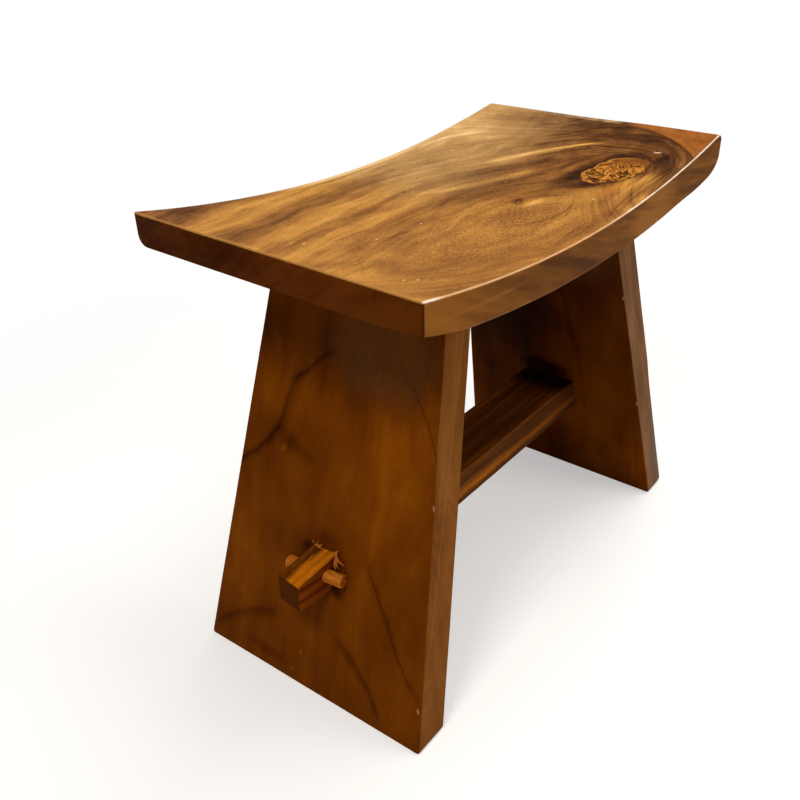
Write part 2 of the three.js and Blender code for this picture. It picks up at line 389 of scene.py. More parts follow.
# %% [markdown]
# ## From rings to a board
# Faces between neighbouring rings make the board's sides, and one face closes each end. A board
# that was planed and sanded by hand is never quite flat. A Displace modifier could give that, but a
# soft noise that only presses points in is as simple, and never makes a piece larger than its true
# size. Smooth shading then needs nothing but its sharp edges marked.

# %% Lofts
SHARP_ANGLE = math.radians(38)


def loft(rings):
    """Joins rings of points in space into a closed bmesh, and returns it with its vertex rows."""
    mesh = bmesh.new()
    rows = [[mesh.verts.new(point) for point in points] for points in rings]
    count = len(rows[0])
    for low, high in zip(rows, rows[1:]):
        for i in range(count):
            j = (i + 1) % count
            mesh.faces.new((low[i], low[j], high[j], high[i]))
    mesh.faces.new(reversed(rows[0]))
    mesh.faces.new(rows[-1])
    return mesh, rows


def wear(mesh, depth, scale, seed):
    """Presses a finished surface in by up to depth, as planing and sanding by hand leave it."""
    bmesh.ops.recalc_face_normals(mesh, faces=mesh.faces)
    mesh.normal_update()
    offset = Vector((seed * 7.3, seed * 3.1, seed * 5.7))
    moves = []
    for vertex in mesh.verts:
        share = (noise.noise(vertex.co / scale + offset) + 1) / 2
        moves.append(vertex.co - vertex.normal * depth * share)
    for vertex, place in zip(mesh.verts, moves):
        vertex.co = place


def to_object(mesh, name):
    """Turns a bmesh into an object in the scene."""
    bmesh.ops.recalc_face_normals(mesh, faces=mesh.faces)
    data = bpy.data.meshes.new(name)
    mesh.to_mesh(data)
    mesh.free()
    piece = bpy.data.objects.new(name, data)
    bpy.context.scene.collection.objects.link(piece)
    return piece


def finish_shading(piece):
    piece.data.shade_smooth()
    piece.data.set_sharp_from_angle(angle=SHARP_ANGLE)


print(f"edges over {math.degrees(SHARP_ANGLE):.0f} degrees stay sharp")

# %% [markdown]
# ## Round holes
# The seat and the legs are drilled for dowels, and the tenons for pegs. The rings run across such a
# hole, so they can't draw it. Each hole is cut afterwards, with a cylinder and a Boolean modifier,
# as a drill would do it. The modifier's result is kept and the cylinder is thrown away.

# %% Holes
DRILL_SIDES = 40


def drill(piece, start, end, diameter):
    """Cuts a round hole a gap wider than the rod that goes in it."""
    axis = (end - start).normalized()
    start = start - axis * GAP
    end = end + axis * GAP
    mesh = bmesh.new()
    bmesh.ops.create_cone(
        mesh,
        cap_ends=True,
        segments=DRILL_SIDES,
        radius1=diameter / 2 + GAP,
        radius2=diameter / 2 + GAP,
        depth=(end - start).length,
    )
    turn = axis.to_track_quat("Z", "Y").to_matrix().to_4x4()
    bmesh.ops.transform(mesh, verts=mesh.verts, matrix=Matrix.Translation((start + end) / 2) @ turn)
    cutter = to_object(mesh, "cutter")
    modifier = piece.modifiers.new("hole", "BOOLEAN")
    modifier.operation = "DIFFERENCE"
    modifier.solver = "EXACT"
    modifier.object = cutter
    graph = bpy.context.evaluated_depsgraph_get()
    cut = bpy.data.meshes.new_from_object(piece.evaluated_get(graph))
    piece.modifiers.clear()
    piece.data = cut
    bpy.data.objects.remove(cutter)


def dowel_ends(side, y):
    """Both ends of a dowel, which lies in the middle of the leg and points along it."""
    def middle_x(z):
        return side * (leg_outer_x(z) + leg_inner_x(z)) / 2

    joint_z = seat_arc_under(middle_x(LEG_TOP_Z))
    joint = Vector((middle_x(joint_z), y, joint_z))
    up = Vector((-side * math.sin(LEAN), 0.0, math.cos(LEAN)))
    return joint - up * DOWEL_IN_LEG, joint + up * DOWEL_IN_SEAT


def peg_ends(side):
    mirror = Matrix.Scale(-side, 4, Vector((1, 0, 0)))
    return mirror @ PEG_BACK_END, mirror @ PEG_FRONT_END


dowel_low, dowel_high = dowel_ends(SIDES["left"], DOWEL_PLACES["middle"])
peg_back, peg_front = peg_ends(SIDES["left"])
print(f"a dowel is {(dowel_high - dowel_low).length * MM_PER_M:.0f} mm long")
print(f"a peg is {(peg_front - peg_back).length * MM_PER_M:.0f} mm long")

# %% [markdown]
# ## The seat's curves
# The seat is one thick board that is hollowed along its length. Its left end is sawn square and a
# little thinner, most of all at the front corner, and its right end runs into a full round nose. A
# curve object could be bent to this, but each of these forms has its own size, so each is a short
# function that says how high the board is at a place.

# %% Seat curves
LEFT_LIFT = 0.0045
LEFT_LIFT_LENGTH = 0.055
LEFT_LIFT_WIDTH = 0.040
# This share of the lift runs on over the whole width of the seat.
LEFT_LIFT_REST = 0.48
SAG_START = 0.175
SAG_DEPTH = 0.0021
SAG_FRONT = -0.075
SAG_WIDTH = 0.1
NOSE_SWELL = 0.0025
NOSE_SWELL_START = 0.168
NOSE_SWELL_LENGTH = 0.055


def end_sag(x, y):
    """How far the back half of the nose end hangs down, where the board has warped most."""
    along = max(0.0, (x - SAG_START) / (NOSE_X - SAG_START))
    return SAG_DEPTH * along**1.5 * soft_step((y - SAG_FRONT) / SAG_WIDTH)


def nose_top(x):
    """The seat's top past its straight end, where it runs into the nose."""
    if x <= SEAT_HALF_LENGTH:
        return seat_arc_top(x)
    share = 1 - math.sqrt((NOSE_X - x) / NOSE_REACH)
    return SEAT_HEIGHT - NOSE_DROP * share**2


def nose_under(x):
    """The seat's underside, which runs up in a curve at the nose."""
    share = math.sqrt((NOSE_X - x) / NOSE_LENGTH)
    if share >= 1:
        return seat_arc_under(x)
    tip = (SEAT_HEIGHT - NOSE_DROP) * (1 - share) ** 2
    knee = seat_arc_under(NOSE_X) * 2 * share * (1 - share)
    return tip + knee + seat_arc_under(NOSE_X - NOSE_LENGTH) * share**2


def left_lift(from_left, y):
    """How far the underside runs up towards the left end, most of all at its front corner."""
    along = max(0.0, 1 - from_left / LEFT_LIFT_LENGTH) ** 1.3
    across = max(0.0, 1 - (y + SEAT_HALF_WIDTH) / LEFT_LIFT_WIDTH) ** 1.5
    return LEFT_LIFT * along * (LEFT_LIFT_REST + (1 - LEFT_LIFT_REST) * across)


def nose_swell(x):
    """How far the underside hangs down past the right leg, where less was planed off."""
    fade = min(1.0, (NOSE_X - x) / NOSE_LENGTH)
    return NOSE_SWELL * soft_step((x - NOSE_SWELL_START) / NOSE_SWELL_LENGTH) * math.sqrt(fade)


for label, x in (("left end", -SEAT_HALF_LENGTH), ("middle", 0.0), ("right end", SEAT_HALF_LENGTH)):
    board = nose_top(x) - nose_under(x)
    print(f"thickness at the {label}: {board * MM_PER_M:.1f} mm")

# %% [markdown]
# ## Seat board
# The lower back edge of the board is rounded over and one corner is worn. Bevels could round the
# edges, each by one amount. Rings across the board, one every few millimetres, can let each edge
# change along its way, and they draw in at both ends by the same rules as the real rounds.

# %% Seat board
SEAT_EDGE = 0.0017
SEAT_CRISP_EDGE = 0.0007
SEAT_BACK_ROUND = 0.009
EDGE_CHANGE = 0.35
EDGE_WAVES = 30
END_ROUND = 0.0012
SEAT_CORNER = 0.003
SEAT_LEFT_CORNER = 0.0009
WORN_CORNER = 0.009
# A round takes at most the board's thickness divided by this.
ROUND_LIMIT = 2.1
SEAT_ACROSS = 66
SEAT_SIDE_ROWS = 5
SEAT_LEFT_PLACES = [0.0, 0.0004, 0.0009, 0.0018, 0.003, 0.0055, 0.009]
SEAT_MIDDLE_RINGS = 116
NOSE_RINGS = 14
NOSE_TIP = 0.00003
SEAT_WEAR_DEPTH = 0.00016
SEAT_WEAR_SCALE = 0.045
SEAT_SEED = 3


def seat_ring(x):
    """A cut across the seat at one place along it."""
    from_left = x + SEAT_HALF_LENGTH
    from_nose = NOSE_X - x
    top = nose_top(x) - round_off(from_left, END_ROUND)
    lift = left_lift(from_left, 0.0)
    under = nose_under(x) - nose_swell(x) + lift
    left = round_off(from_left, SEAT_LEFT_CORNER)
    front = -SEAT_HALF_WIDTH + max(left, round_off(from_nose, SEAT_CORNER))
    back = SEAT_HALF_WIDTH - max(left, round_off(from_nose, WORN_CORNER))
    half = (top - under) / ROUND_LIMIT
    soft = 1 + EDGE_CHANGE * noise.noise(Vector((x * EDGE_WAVES, SEAT_SEED, 0)))
    crisp = min(SEAT_CRISP_EDGE * soft, half)
    radii = (crisp, min(SEAT_BACK_ROUND, half), crisp, min(SEAT_EDGE * soft, half))
    points = ring(
        (front, back), (under, top), radii,
        lambda low, high: split_held(low, high, SEAT_ACROSS),
        lambda low, high: split_held(low, high, SEAT_SIDE_ROWS),
    )
    result = []
    for y, z in points:
        more_lift = (left_lift(from_left, y) - lift) * (top - z) / (top - under)
        result.append(Vector((x, y, z + more_lift + seat_wind(x, y) - end_sag(x, y))))
    return result


def make_seat():
    left = [-SEAT_HALF_LENGTH + distance for distance in SEAT_LEFT_PLACES]
    nose = [NOSE_X - NOSE_LENGTH * (step / NOSE_RINGS) ** 2 for step in range(NOSE_RINGS, 0, -1)]
    middle = split(left[-1], nose[0], SEAT_MIDDLE_RINGS)[1:-1]
    places = left + middle + nose + [NOSE_X - NOSE_TIP]
    mesh, _ = loft([seat_ring(x) for x in places])
    wear(mesh, SEAT_WEAR_DEPTH, SEAT_WEAR_SCALE, SEAT_SEED)
    seat = to_object(mesh, "seat_board")
    for side in SIDES.values():
        for y in DOWEL_PLACES.values():
            drill(seat, *dowel_ends(side, y), DOWEL_DIAMETER)
    finish_shading(seat)
    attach(seat, BODY)
    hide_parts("seat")
    return seat


seat = make_seat()
print("seat faces:", len(seat.data.polygons))

# %% [markdown]
# ## The legs' rings
# A leg is a thick board that is wider at the foot and leans outwards. A leaning cube would do for a
# plain one, but the right leg still has the natural round of the tree, the wane, on its outer front
# edge, which widens towards the foot. So a leg is a row of level rings, and the top ring follows
# the underside of the seat. The rings are level because the mortise for the tenon is level too.

# %% Leg rings
LEG_EDGE = 0.0006
LEG_EDGE_CHANGE = 0.4
LEG_EDGE_WAVES = 25
LEG_SWELL = {"left": 0.0, "right": 0.002}
SWELL_RISE = (0.150, 0.200)
BACK_TRIM = {"left": 0.0, "right": 0.0012}
FOOT_ROUND = 0.0006
FOOT_CORNER_FRONT = 0.005
FOOT_CORNER_BACK = 0.003
WANE_HEIGHT = 0.190
WANE_WIDTH = 0.020
WANE_DEPTH = 0.0007
MORTISE_HALF = TENON_WIDTH / 2 + GAP
MORTISE_LOW = BAR_LOW - GAP
MORTISE_HIGH = BAR_HIGH + GAP
ACROSS_OUTER = 13
ACROSS_MORTISE = 10
LEG_SIDE_ROWS = 5
FOOT_LEVELS = [0.0, 0.0003, 0.001, 0.002, 0.004, 0.007]
LAST_LEVEL = 0.385
LOWER_ROWS, MORTISE_ROWS, UPPER_ROWS = 15, 12, 30
LEG_SEEDS = {"left": 11, "right": 23}


def leg_columns(low, high):
    """Places across a leg's face, with the mortise's two walls among them."""
    near_side = split_held(low, -MORTISE_HALF, ACROSS_OUTER)
    mortise = split(-MORTISE_HALF, MORTISE_HALF, ACROSS_MORTISE)
    return near_side + mortise[1:] + split_held(MORTISE_HALF, high, ACROSS_OUTER)[1:]


def leg_heights():
    """The heights of a leg's level rings, with the mortise's floor and roof among them."""
    lower = split(FOOT_LEVELS[-1], MORTISE_LOW, LOWER_ROWS)[1:]
    mortise = split(MORTISE_LOW, MORTISE_HIGH, MORTISE_ROWS)[1:]
    upper = split(MORTISE_HIGH, LAST_LEVEL, UPPER_ROWS)[1:]
    return FOOT_LEVELS + lower + mortise + upper


def leg_swell(name, z):
    """How far a leg's outer face stands out, because the plank is thicker in its upper part."""
    low, high = SWELL_RISE
    return LEG_SWELL[name] * soft_step((z - low) / (high - low))


def leg_ring(name, z, to_seat):
    """A level cut through a leg, or, with to_seat=1, one that follows the underside of the seat."""
    seed = LEG_SEEDS[name]
    foot = round_off(z, FOOT_ROUND)
    outer = leg_outer_x(z) + leg_swell(name, z) - foot
    inner = leg_inner_x(z) + foot
    front = -leg_half_width(z) + round_off(z, FOOT_CORNER_FRONT)
    back = leg_half_width(z) - BACK_TRIM[name] - round_off(z, FOOT_CORNER_BACK)
    soft = []
    for i in range(4):
        change = noise.noise(Vector((z * LEG_EDGE_WAVES, seed, i)))
        soft.append(LEG_EDGE * (1 + LEG_EDGE_CHANGE * change))
    long_radius = soft[1]
    if name == "right" and z < WANE_HEIGHT:
        share = 1 - z / WANE_HEIGHT
        long_radius += WANE_WIDTH * share
        soft[1] += WANE_DEPTH * share
    points = ring(
        (inner, outer), (front, back), soft,
        lambda low, high: split_held(low, high, LEG_SIDE_ROWS),
        leg_columns,
        long_radius,
    )
    result = []
    for x, y in points:
        top = seat_arc_under(SIDES[name] * x) + seat_wind(SIDES[name] * x, y) - GAP
        height = z + (top - z) * to_seat
        shift = leg_outer_x(height) - leg_outer_x(z)
        narrow = leg_half_width(height) / leg_half_width(z)
        result.append(Vector((SIDES[name] * (x + shift), y * narrow, height)))
    return result


print("rings of a leg:", len(leg_heights()) + 2)

# %% [markdown]
# ## Mortise
# The mortise is the square hole that the tenon passes through. A Boolean could cut it, but it would
# leave long thin faces beside it. Two of the rings lie on its floor and roof, and two columns of
# points on its side walls, so it is opened by leaving out faces and joining the leg's two sides.

# %% Mortise
# A point this close to a face of the leg lies on it.
ON_FACE = GAP / 10


def is_mortise_edge(vertex, outer):
    """True for a vertex on a leg's outer or inner face, on or between the mortise's side walls."""
    z = vertex.co.z
    face = leg_outer_x(z) if outer else leg_inner_x(z)
    on_face = abs(abs(vertex.co.x) - face) < ON_FACE
    return on_face and abs(vertex.co.y) < MORTISE_HALF + ON_FACE


def open_mortise(mesh, rows, heights):
    """Leaves out the faces in the way of the tenon and makes the mortise's four walls."""
    low = heights.index(MORTISE_LOW)
    high = heights.index(MORTISE_HIGH)
    outer = [i for i, vertex in enumerate(rows[low]) if is_mortise_edge(vertex, True)]
    inner = [i for i, vertex in enumerate(rows[low]) if is_mortise_edge(vertex, False)]
    inner.reverse()
    doomed = []
    for columns in (outer, inner):
        inside = {rows[i][j] for i in range(low, high + 1) for j in columns}
        doomed += [face for face in mesh.faces if set(face.verts) <= inside]
    bmesh.ops.delete(mesh, geom=doomed, context="FACES_ONLY")
    loop = [(low, k) for k in range(len(outer))]
    loop += [(i, len(outer) - 1) for i in range(low + 1, high + 1)]
    loop += [(high, k) for k in range(len(outer) - 2, -1, -1)]
    loop += [(i, 0) for i in range(high - 1, low, -1)]
    for (i, j), (m, n) in zip(loop, loop[1:] + loop[:1]):
        corners = (rows[i][outer[j]], rows[m][outer[n]], rows[m][inner[n]], rows[i][inner[j]])
        mesh.faces.new(corners)
    loose_edges = [edge for edge in mesh.edges if not edge.link_faces]
    bmesh.ops.delete(mesh, geom=loose_edges, context="EDGES")
    loose = [vertex for vertex in mesh.verts if not vertex.link_edges]
    bmesh.ops.delete(mesh, geom=loose, context="VERTS")


mortise_width = 2 * MORTISE_HALF * MM_PER_M
mortise_height = (MORTISE_HIGH - MORTISE_LOW) * MM_PER_M
print(f"the mortise is {mortise_width:.1f} mm wide and {mortise_height:.1f} mm high")

# %% [markdown]
# ## Leg boards
# The two legs are one board mirrored, but each has its own unevenness, and the right one its wane.
# A Mirror modifier would make them equal, so each is built from its rings, by the same function.

# %% Leg boards
LEG_WEAR_DEPTH = 0.0002
LEG_WEAR_SCALE = 0.05


def make_leg(name):
    heights = leg_heights()
    rings = [leg_ring(name, z, 0.0) for z in heights]
    rings += [leg_ring(name, heights[-1], 0.5), leg_ring(name, heights[-1], 1.0)]
    mesh, rows = loft(rings)
    open_mortise(mesh, rows, heights)
    wear(mesh, LEG_WEAR_DEPTH, LEG_WEAR_SCALE, LEG_SEEDS[name])
    leg = to_object(mesh, f"{name}_leg_board")
    for y in DOWEL_PLACES.values():
        drill(leg, *dowel_ends(SIDES[name], y), DOWEL_DIAMETER)
    finish_shading(leg)
    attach(leg, BODY)
    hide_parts(f"{name}_leg")
    return leg


legs = {name: make_leg(name) for name in SIDES}
for name, leg in legs.items():
    print(name, "leg faces:", len(leg.data.polygons))

# %% [markdown]
# ## Stretcher
# The stretcher is one bar. At each leg its sides are cut back to a narrower tenon, so that the
# bar's shoulders stop against the leg, and the tenon runs on through it. Outside the leg the tenon
# is pared down a little towards its tip. Three cubes could be joined to make it, but the wood runs
# through, so it is one row of rings. A shoulder is a step in it: the last ring of the tenon and the
# first ring of the bar lie on the same slanted line.

# %% Stretcher
BAR_EDGE = 0.0015
TENON_EDGE = 0.0009
BAR_EDGE_CHANGE = 0.4
BAR_EDGE_WAVES = 40
# The tenon's tip leans to one side, and its end is cut a little out of square.
TIP_DRIFT = 0.0035
TIP_SKEW = 0.003
TIP_PLACES = [0.0, 0.0002, 0.0005, 0.0009]
TIP_CLEAR = 0.003
SHOULDER_CLEAR = 0.004
TENON_RINGS = 18
BAR_RINGS = 60
BAR_TOP_COLUMNS = 10
BAR_SIDE_ROWS = 6
BAR_WEAR_DEPTH = 0.0002
BAR_WEAR_SCALE = 0.03
BAR_SEED = 31


def bar_ring(place, width, low, high, edge):
    """A ring of the bar; place(z) gives its x at each height."""
    soft = []
    for i in range(4):
        change = noise.noise(Vector((place(low) * BAR_EDGE_WAVES, BAR_SEED, i)))
        soft.append(edge * (1 + BAR_EDGE_CHANGE * change))
    points = ring(
        (-width / 2, width / 2), (low, high), soft,
        lambda start, end: split_held(start, end, BAR_TOP_COLUMNS),
        lambda start, end: split_held(start, end, BAR_SIDE_ROWS),
    )
    return [Vector((place(z), y, z)) for y, z in points]


def tenon_ring(side, x):
    """A ring of the tenon outside the leg, drawn in at the tip by a small round."""
    face = leg_outer_x(BAR_HIGH)
    share = max(0.0, (x - face) / (TENON_TIP_X - face))
    inset = round_off(TENON_TIP_X - x, TENON_EDGE)
    points = bar_ring(
        lambda z: side * x,
        TENON_WIDTH - 2 * inset,
        BAR_LOW + TIP_RISE * share + inset,
        BAR_HIGH - TIP_DROP * share - inset,
        TENON_EDGE,
    )
    for point in points:
        point.x -= side * TIP_SKEW * share * (0.5 + point.y / TENON_WIDTH)
        point.y -= side * TIP_DRIFT * share
    return points


def make_stretcher():
    def shoulder(side):
        return lambda z: side * (leg_inner_x(z) - GAP)

    inner_end = leg_inner_x(BAR_LOW) + SHOULDER_CLEAR
    tenon = [TENON_TIP_X - distance for distance in TIP_PLACES]
    tenon += split(TENON_TIP_X - TIP_CLEAR, inner_end, TENON_RINGS)
    rings = [tenon_ring(-1, x) for x in tenon]
    rings.append(bar_ring(shoulder(-1), TENON_WIDTH, BAR_LOW, BAR_HIGH, TENON_EDGE))
    rings.append(bar_ring(shoulder(-1), BAR_WIDTH, BAR_LOW, BAR_HIGH, BAR_EDGE))
    reach = leg_inner_x(BAR_HIGH) - SHOULDER_CLEAR
    for x in split(-reach, reach, BAR_RINGS):
        rings.append(bar_ring(lambda z, x=x: x, BAR_WIDTH, BAR_LOW, BAR_HIGH, BAR_EDGE))
    rings.append(bar_ring(shoulder(1), BAR_WIDTH, BAR_LOW, BAR_HIGH, BAR_EDGE))
    rings.append(bar_ring(shoulder(1), TENON_WIDTH, BAR_LOW, BAR_HIGH, TENON_EDGE))
    rings += [tenon_ring(1, x) for x in reversed(tenon)]
    mesh, _ = loft(rings)
    wear(mesh, BAR_WEAR_DEPTH, BAR_WEAR_SCALE, BAR_SEED)
    bar = to_object(mesh, "stretcher_bar")
    for side in SIDES.values():
        drill(bar, *peg_ends(side), PEG_DIAMETER)
    finish_shading(bar)
    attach(bar, BODY)
    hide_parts("stretcher")
    return bar


stretcher = make_stretcher()
print("stretcher faces:", len(stretcher.data.polygons))

# %% [markdown]
# ## Pegs
# Each peg is a short length of dowel that was whittled by hand and driven through the tenon, so it
# is a little uneven all round and its ends are chipped. A cylinder would be too true. The peg is a
# row of round rings along its own slant, and its radius changes with a slow noise.

# %% Pegs
PEG_SIDES = 36
PEG_FACET = 0.0004
PEG_CHIP = 0.0012
PEG_END = 0.0016
PEG_TIP_PLACES = [0.0, 0.0003, 0.0008, 0.0016]
PEG_TIP_CLEAR = 0.003
PEG_RINGS = 24
# The noise that shapes a peg: how fast it changes along it, and how fine facets and chips are.
PEG_WAVES = 60
FACET_SCALE = 1.6
CHIP_SCALE = 3.0
CHIP_OFFSET = Vector((9, 0, 0))
PEG_SEEDS = {"left": 41, "right": 53}


def peg_ring(start, axes, along, length, seed):
    """A ring of a peg at a distance along it; axes are its two sides' directions and its own."""
    side_a, side_b, axis = axes
    from_end = min(along, length - along)
    points = []
    for step in range(PEG_SIDES):
        angle = 2 * math.pi * step / PEG_SIDES
        around = Vector((math.cos(angle), math.sin(angle), along * PEG_WAVES + seed))
        facet = 0.5 + 0.5 * noise.noise(around * FACET_SCALE)
        chip = PEG_CHIP * (0.7 + 0.6 * noise.noise(around * CHIP_SCALE + CHIP_OFFSET))
        radius = PEG_DIAMETER / 2 - PEG_FACET * facet - round_off(from_end, PEG_END, chip)
        offset = side_a * math.cos(angle) * radius + side_b * math.sin(angle) * radius
        points.append(start + axis * along + offset)
    return points


def make_peg(name):
    start, end = peg_ends(SIDES[name])
    axis = (end - start).normalized()
    side_a = axis.orthogonal().normalized()
    side_b = axis.cross(side_a)
    length = (end - start).length
    places = PEG_TIP_PLACES + split(PEG_TIP_CLEAR, length - PEG_TIP_CLEAR, PEG_RINGS)
    places += [length - distance for distance in reversed(PEG_TIP_PLACES)]
    axes = (side_a, side_b, axis)
    mesh, _ = loft([peg_ring(start, axes, along, length, PEG_SEEDS[name]) for along in places])
    peg = to_object(mesh, f"{name}_peg")
    finish_shading(peg)
    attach(peg, BODY)
    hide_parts(f"{name}_tenon_peg")
    return peg


pegs = {name: make_peg(name) for name in SIDES}
print("pegs:", ", ".join(peg.name for peg in pegs.values()))

# %% [markdown]
# ## Torn fibres
# Where the mortise was chopped out and the tenon was driven through, a few fibres have torn loose
# at the mouth. A hair system could grow such fibres, but these few have their own places. Each is a
# thin splinter: a strip that bends away from the leg, closed all round and pointed at both ends.
# They are so small that one object holds them all.

# %% Torn fibres
FIBRE_STEPS = 6
FIBRE_CLEAR = 0.0004
FIBRE_BOW = 0.12
FIBRE_FULLNESS = 0.78
FIBRE_TAPER = 0.35
# Splinters on each leg's outer face: y and z where they start and end, how far they stand out at
# the start and at the end, and their width; all in millimetres.
FIBRES = [
    (-14.6, 149.4, -16.9, 156.4, 0.5, 2.6, 2.0),
    (-15.2, 149.4, -27.6, 144.4, 0.6, 2.4, 1.7),
    (-15.0, 150.2, -22.4, 145.6, 0.5, 3.2, 3.0),
    (-14.8, 149.8, -17.4, 137.2, 0.9, 2.8, 2.2),
    (-15.0, 149.6, -21.2, 139.6, 0.7, 3.4, 1.9),
    (-14.6, 151.6, -19.4, 143.0, 0.8, 3.0, 2.6),
    (-14.4, 150.0, -11.4, 153.8, 0.5, 2.2, 1.4),
    (13.0, 150.3, 1.6, 153.2, 0.4, 1.8, 2.0),
    (10.6, 150.2, 0.2, 151.4, 0.6, 2.2, 1.8),
    (8.4, 150.4, 7.2, 155.4, 0.5, 1.6, 1.2),
    (5.0, 150.4, 1.2, 155.0, 0.5, 1.8, 1.2),
    (14.4, 149.9, 12.6, 154.6, 0.4, 1.4, 1.0),
]


def add_fibre(mesh, start, end, away, width):
    """Adds one splinter, which bows away from the straight line between its ends."""
    axis = (end - start).normalized()
    across = axis.cross(away).normalized()
    bow = (end - start).length * FIBRE_BOW
    tip, root = mesh.verts.new(end), mesh.verts.new(start)
    rows = []
    for step in range(1, FIBRE_STEPS):
        share = step / FIBRE_STEPS
        swell = math.sin(math.pi * share)
        centre = start.lerp(end, share) + away * bow * swell
        half = width * FIBRE_FULLNESS * swell**0.7 * (1 - FIBRE_TAPER * share)
        corners = (across * half, away * half * 0.5, across * -half, away * half * -0.5)
        rows.append([mesh.verts.new(centre + corner) for corner in corners])
    for i in range(4):
        j = (i + 1) % 4
        mesh.faces.new((root, rows[0][j], rows[0][i]))
        mesh.faces.new((rows[-1][i], rows[-1][j], tip))
        for low, high in zip(rows, rows[1:]):
            mesh.faces.new((low[i], low[j], high[j], high[i]))


def on_leg_face(side, y, z, out):
    """A point beside a leg's outer face, out of it by a distance; all in millimetres."""
    z /= MM_PER_M
    return Vector((side * (leg_outer_x(z) + FIBRE_CLEAR + out / MM_PER_M), y / MM_PER_M, z))


def make_fibres():
    mesh = bmesh.new()
    for side in SIDES.values():
        for y_start, z_start, y_end, z_end, out_start, out_end, width in FIBRES:
            start = on_leg_face(side, y_start, z_start, out_start)
            end = on_leg_face(side, y_end, z_end, out_end)
            add_fibre(mesh, start, end, Vector((side, 0, 0)), width / MM_PER_M)
    fibres = to_object(mesh, "torn_fibres")
    finish_shading(fibres)
    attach(fibres, BODY)
    return fibres


fibres = make_fibres()
print("fibres:", len(fibres.data.polygons), "faces")

# %% [markdown]
# ## Wires
# A finish is a tree of shader nodes. Written out node by node, even a short sum takes many lines,
# so a small helper class stands for a number that flows through the tree: adding or multiplying
# two such wires places a Math node and links it.

# %% Wires
def feed(tree, socket, value):
    """Links a wire to a socket, or sets the socket to a plain value."""
    if isinstance(value, Wire):
        tree.links.new(value.socket, socket)
    else:
        socket.default_value = value


class Wire:
    """A number or colour that flows through a node tree."""

    def __init__(self, tree, socket):
        self.tree = tree
        self.socket = socket

    def math(self, operation, *others):
        node = self.tree.nodes.new("ShaderNodeMath")
        node.operation = operation
        for socket, value in zip(node.inputs, (self, *others)):
            feed(self.tree, socket, value)
        return Wire(self.tree, node.outputs[0])

    def __add__(self, other):
        return self.math("ADD", other)

    def __sub__(self, other):
        return self.math("SUBTRACT", other)

    def __mul__(self, other):
        return self.math("MULTIPLY", other)

    def __truediv__(self, other):
        return self.math("DIVIDE", other)

    def low(self, other):
        return self.math("MINIMUM", other)

    def high(self, other):
        return self.math("MAXIMUM", other)

    def size(self):
        return self.math("ABSOLUTE")

    def root(self):
        return self.math("SQRT")

    def squared(self):
        return self * self

    def rise(self, start, end):
        """0 at start, 1 at end, with soft ends; start may be the larger one."""
        node = self.tree.nodes.new("ShaderNodeMapRange")
        node.interpolation_type = "SMOOTHSTEP"
        feed(self.tree, node.inputs["Value"], self)
        feed(self.tree, node.inputs["From Min"], start)
        feed(self.tree, node.inputs["From Max"], end)
        return Wire(self.tree, node.outputs[0])

    def swing(self, amount):
        """Turns a noise, which lies around one half, into a value around nothing."""
        return (self - 0.5) * (2 * amount)

    def ramp(self, stops):
        """Looks the value up in a row of (place, colour or grey) stops."""
        node = self.tree.nodes.new("ShaderNodeValToRGB")
        row = node.color_ramp.elements
        for _ in range(len(stops) - len(row)):
            row.new(0.5)
        for element, (place, color) in zip(row, stops):
            element.position = place
            element.color = (color, color, color, 1) if isinstance(color, float) else color
        feed(self.tree, node.inputs[0], self)
        return Wire(self.tree, node.outputs[0])


print("what a wire can do:", ", ".join(name for name in vars(Wire) if name[0] != "_"))

# %% [markdown]
# ## Colours, places and noise
# Colours are written as a painter picks them on a screen, and turned into light. Places on the
# object come from its own coordinates, so that the figure stays in the wood wherever it stands.
# They are in millimetres, because the figure of wood is easier to think of in that unit.

# %% Colours, places and noise
def tone(red, green, blue):
    """A colour as a painter picks it on a screen, turned into light."""
    def light(value):
        value /= 255
        return value / 12.92 if value <= 0.04045 else ((value + 0.055) / 1.055) ** 2.4

    return (light(red), light(green), light(blue), 1.0)


def mix(factor, first, second):
    """The first colour, with the second over it where factor is high."""
    tree = factor.tree
    node = tree.nodes.new("ShaderNodeMix")
    node.data_type = "RGBA"
    feed(tree, node.inputs[0], factor)
    feed(tree, node.inputs[6], first)
    feed(tree, node.inputs[7], second)
    return Wire(tree, node.outputs[2])


def vector(tree, x, y, z):
    node = tree.nodes.new("ShaderNodeCombineXYZ")
    for socket, value in zip(node.inputs, (x, y, z)):
        feed(tree, socket, value)
    return Wire(tree, node.outputs[0])


def cloud(tree, place, detail=2.0, roughness=0.5, distortion=0.0):
    """Soft noise with blots about one unit wide; distortion makes them curl."""
    node = tree.nodes.new("ShaderNodeTexNoise")
    feed(tree, node.inputs["Vector"], place)
    node.inputs["Scale"].default_value = 1.0
    node.inputs["Detail"].default_value = detail
    node.inputs["Roughness"].default_value = roughness
    node.inputs["Distortion"].default_value = distortion
    return Wire(tree, node.outputs[0])


def place_in_mm(tree):
    """The three coordinates of a point on the object, in millimetres."""
    coordinates = tree.nodes.new("ShaderNodeTexCoord")
    separate = tree.nodes.new("ShaderNodeSeparateXYZ")
    tree.links.new(coordinates.outputs["Object"], separate.inputs[0])
    return [Wire(tree, socket) * MM_PER_M for socket in separate.outputs]


def lean_to(value, target, share):
    """Moves a value towards a target where share is high."""
    return value + (value * -1.0 + target) * share


print("a screen's 128 is", round(tone(128, 128, 128)[0], 3), "of full light")

# %% [markdown]
# ## Node groups and the shader
# A group holds an effect that comes back in several finishes, and gives out only masks and heights.
# The shader itself stays outside, in each material, where its steady values sit on its sockets. The
# oil on the wood tints what it reflects, and the worn arrises have a thin clear coat.

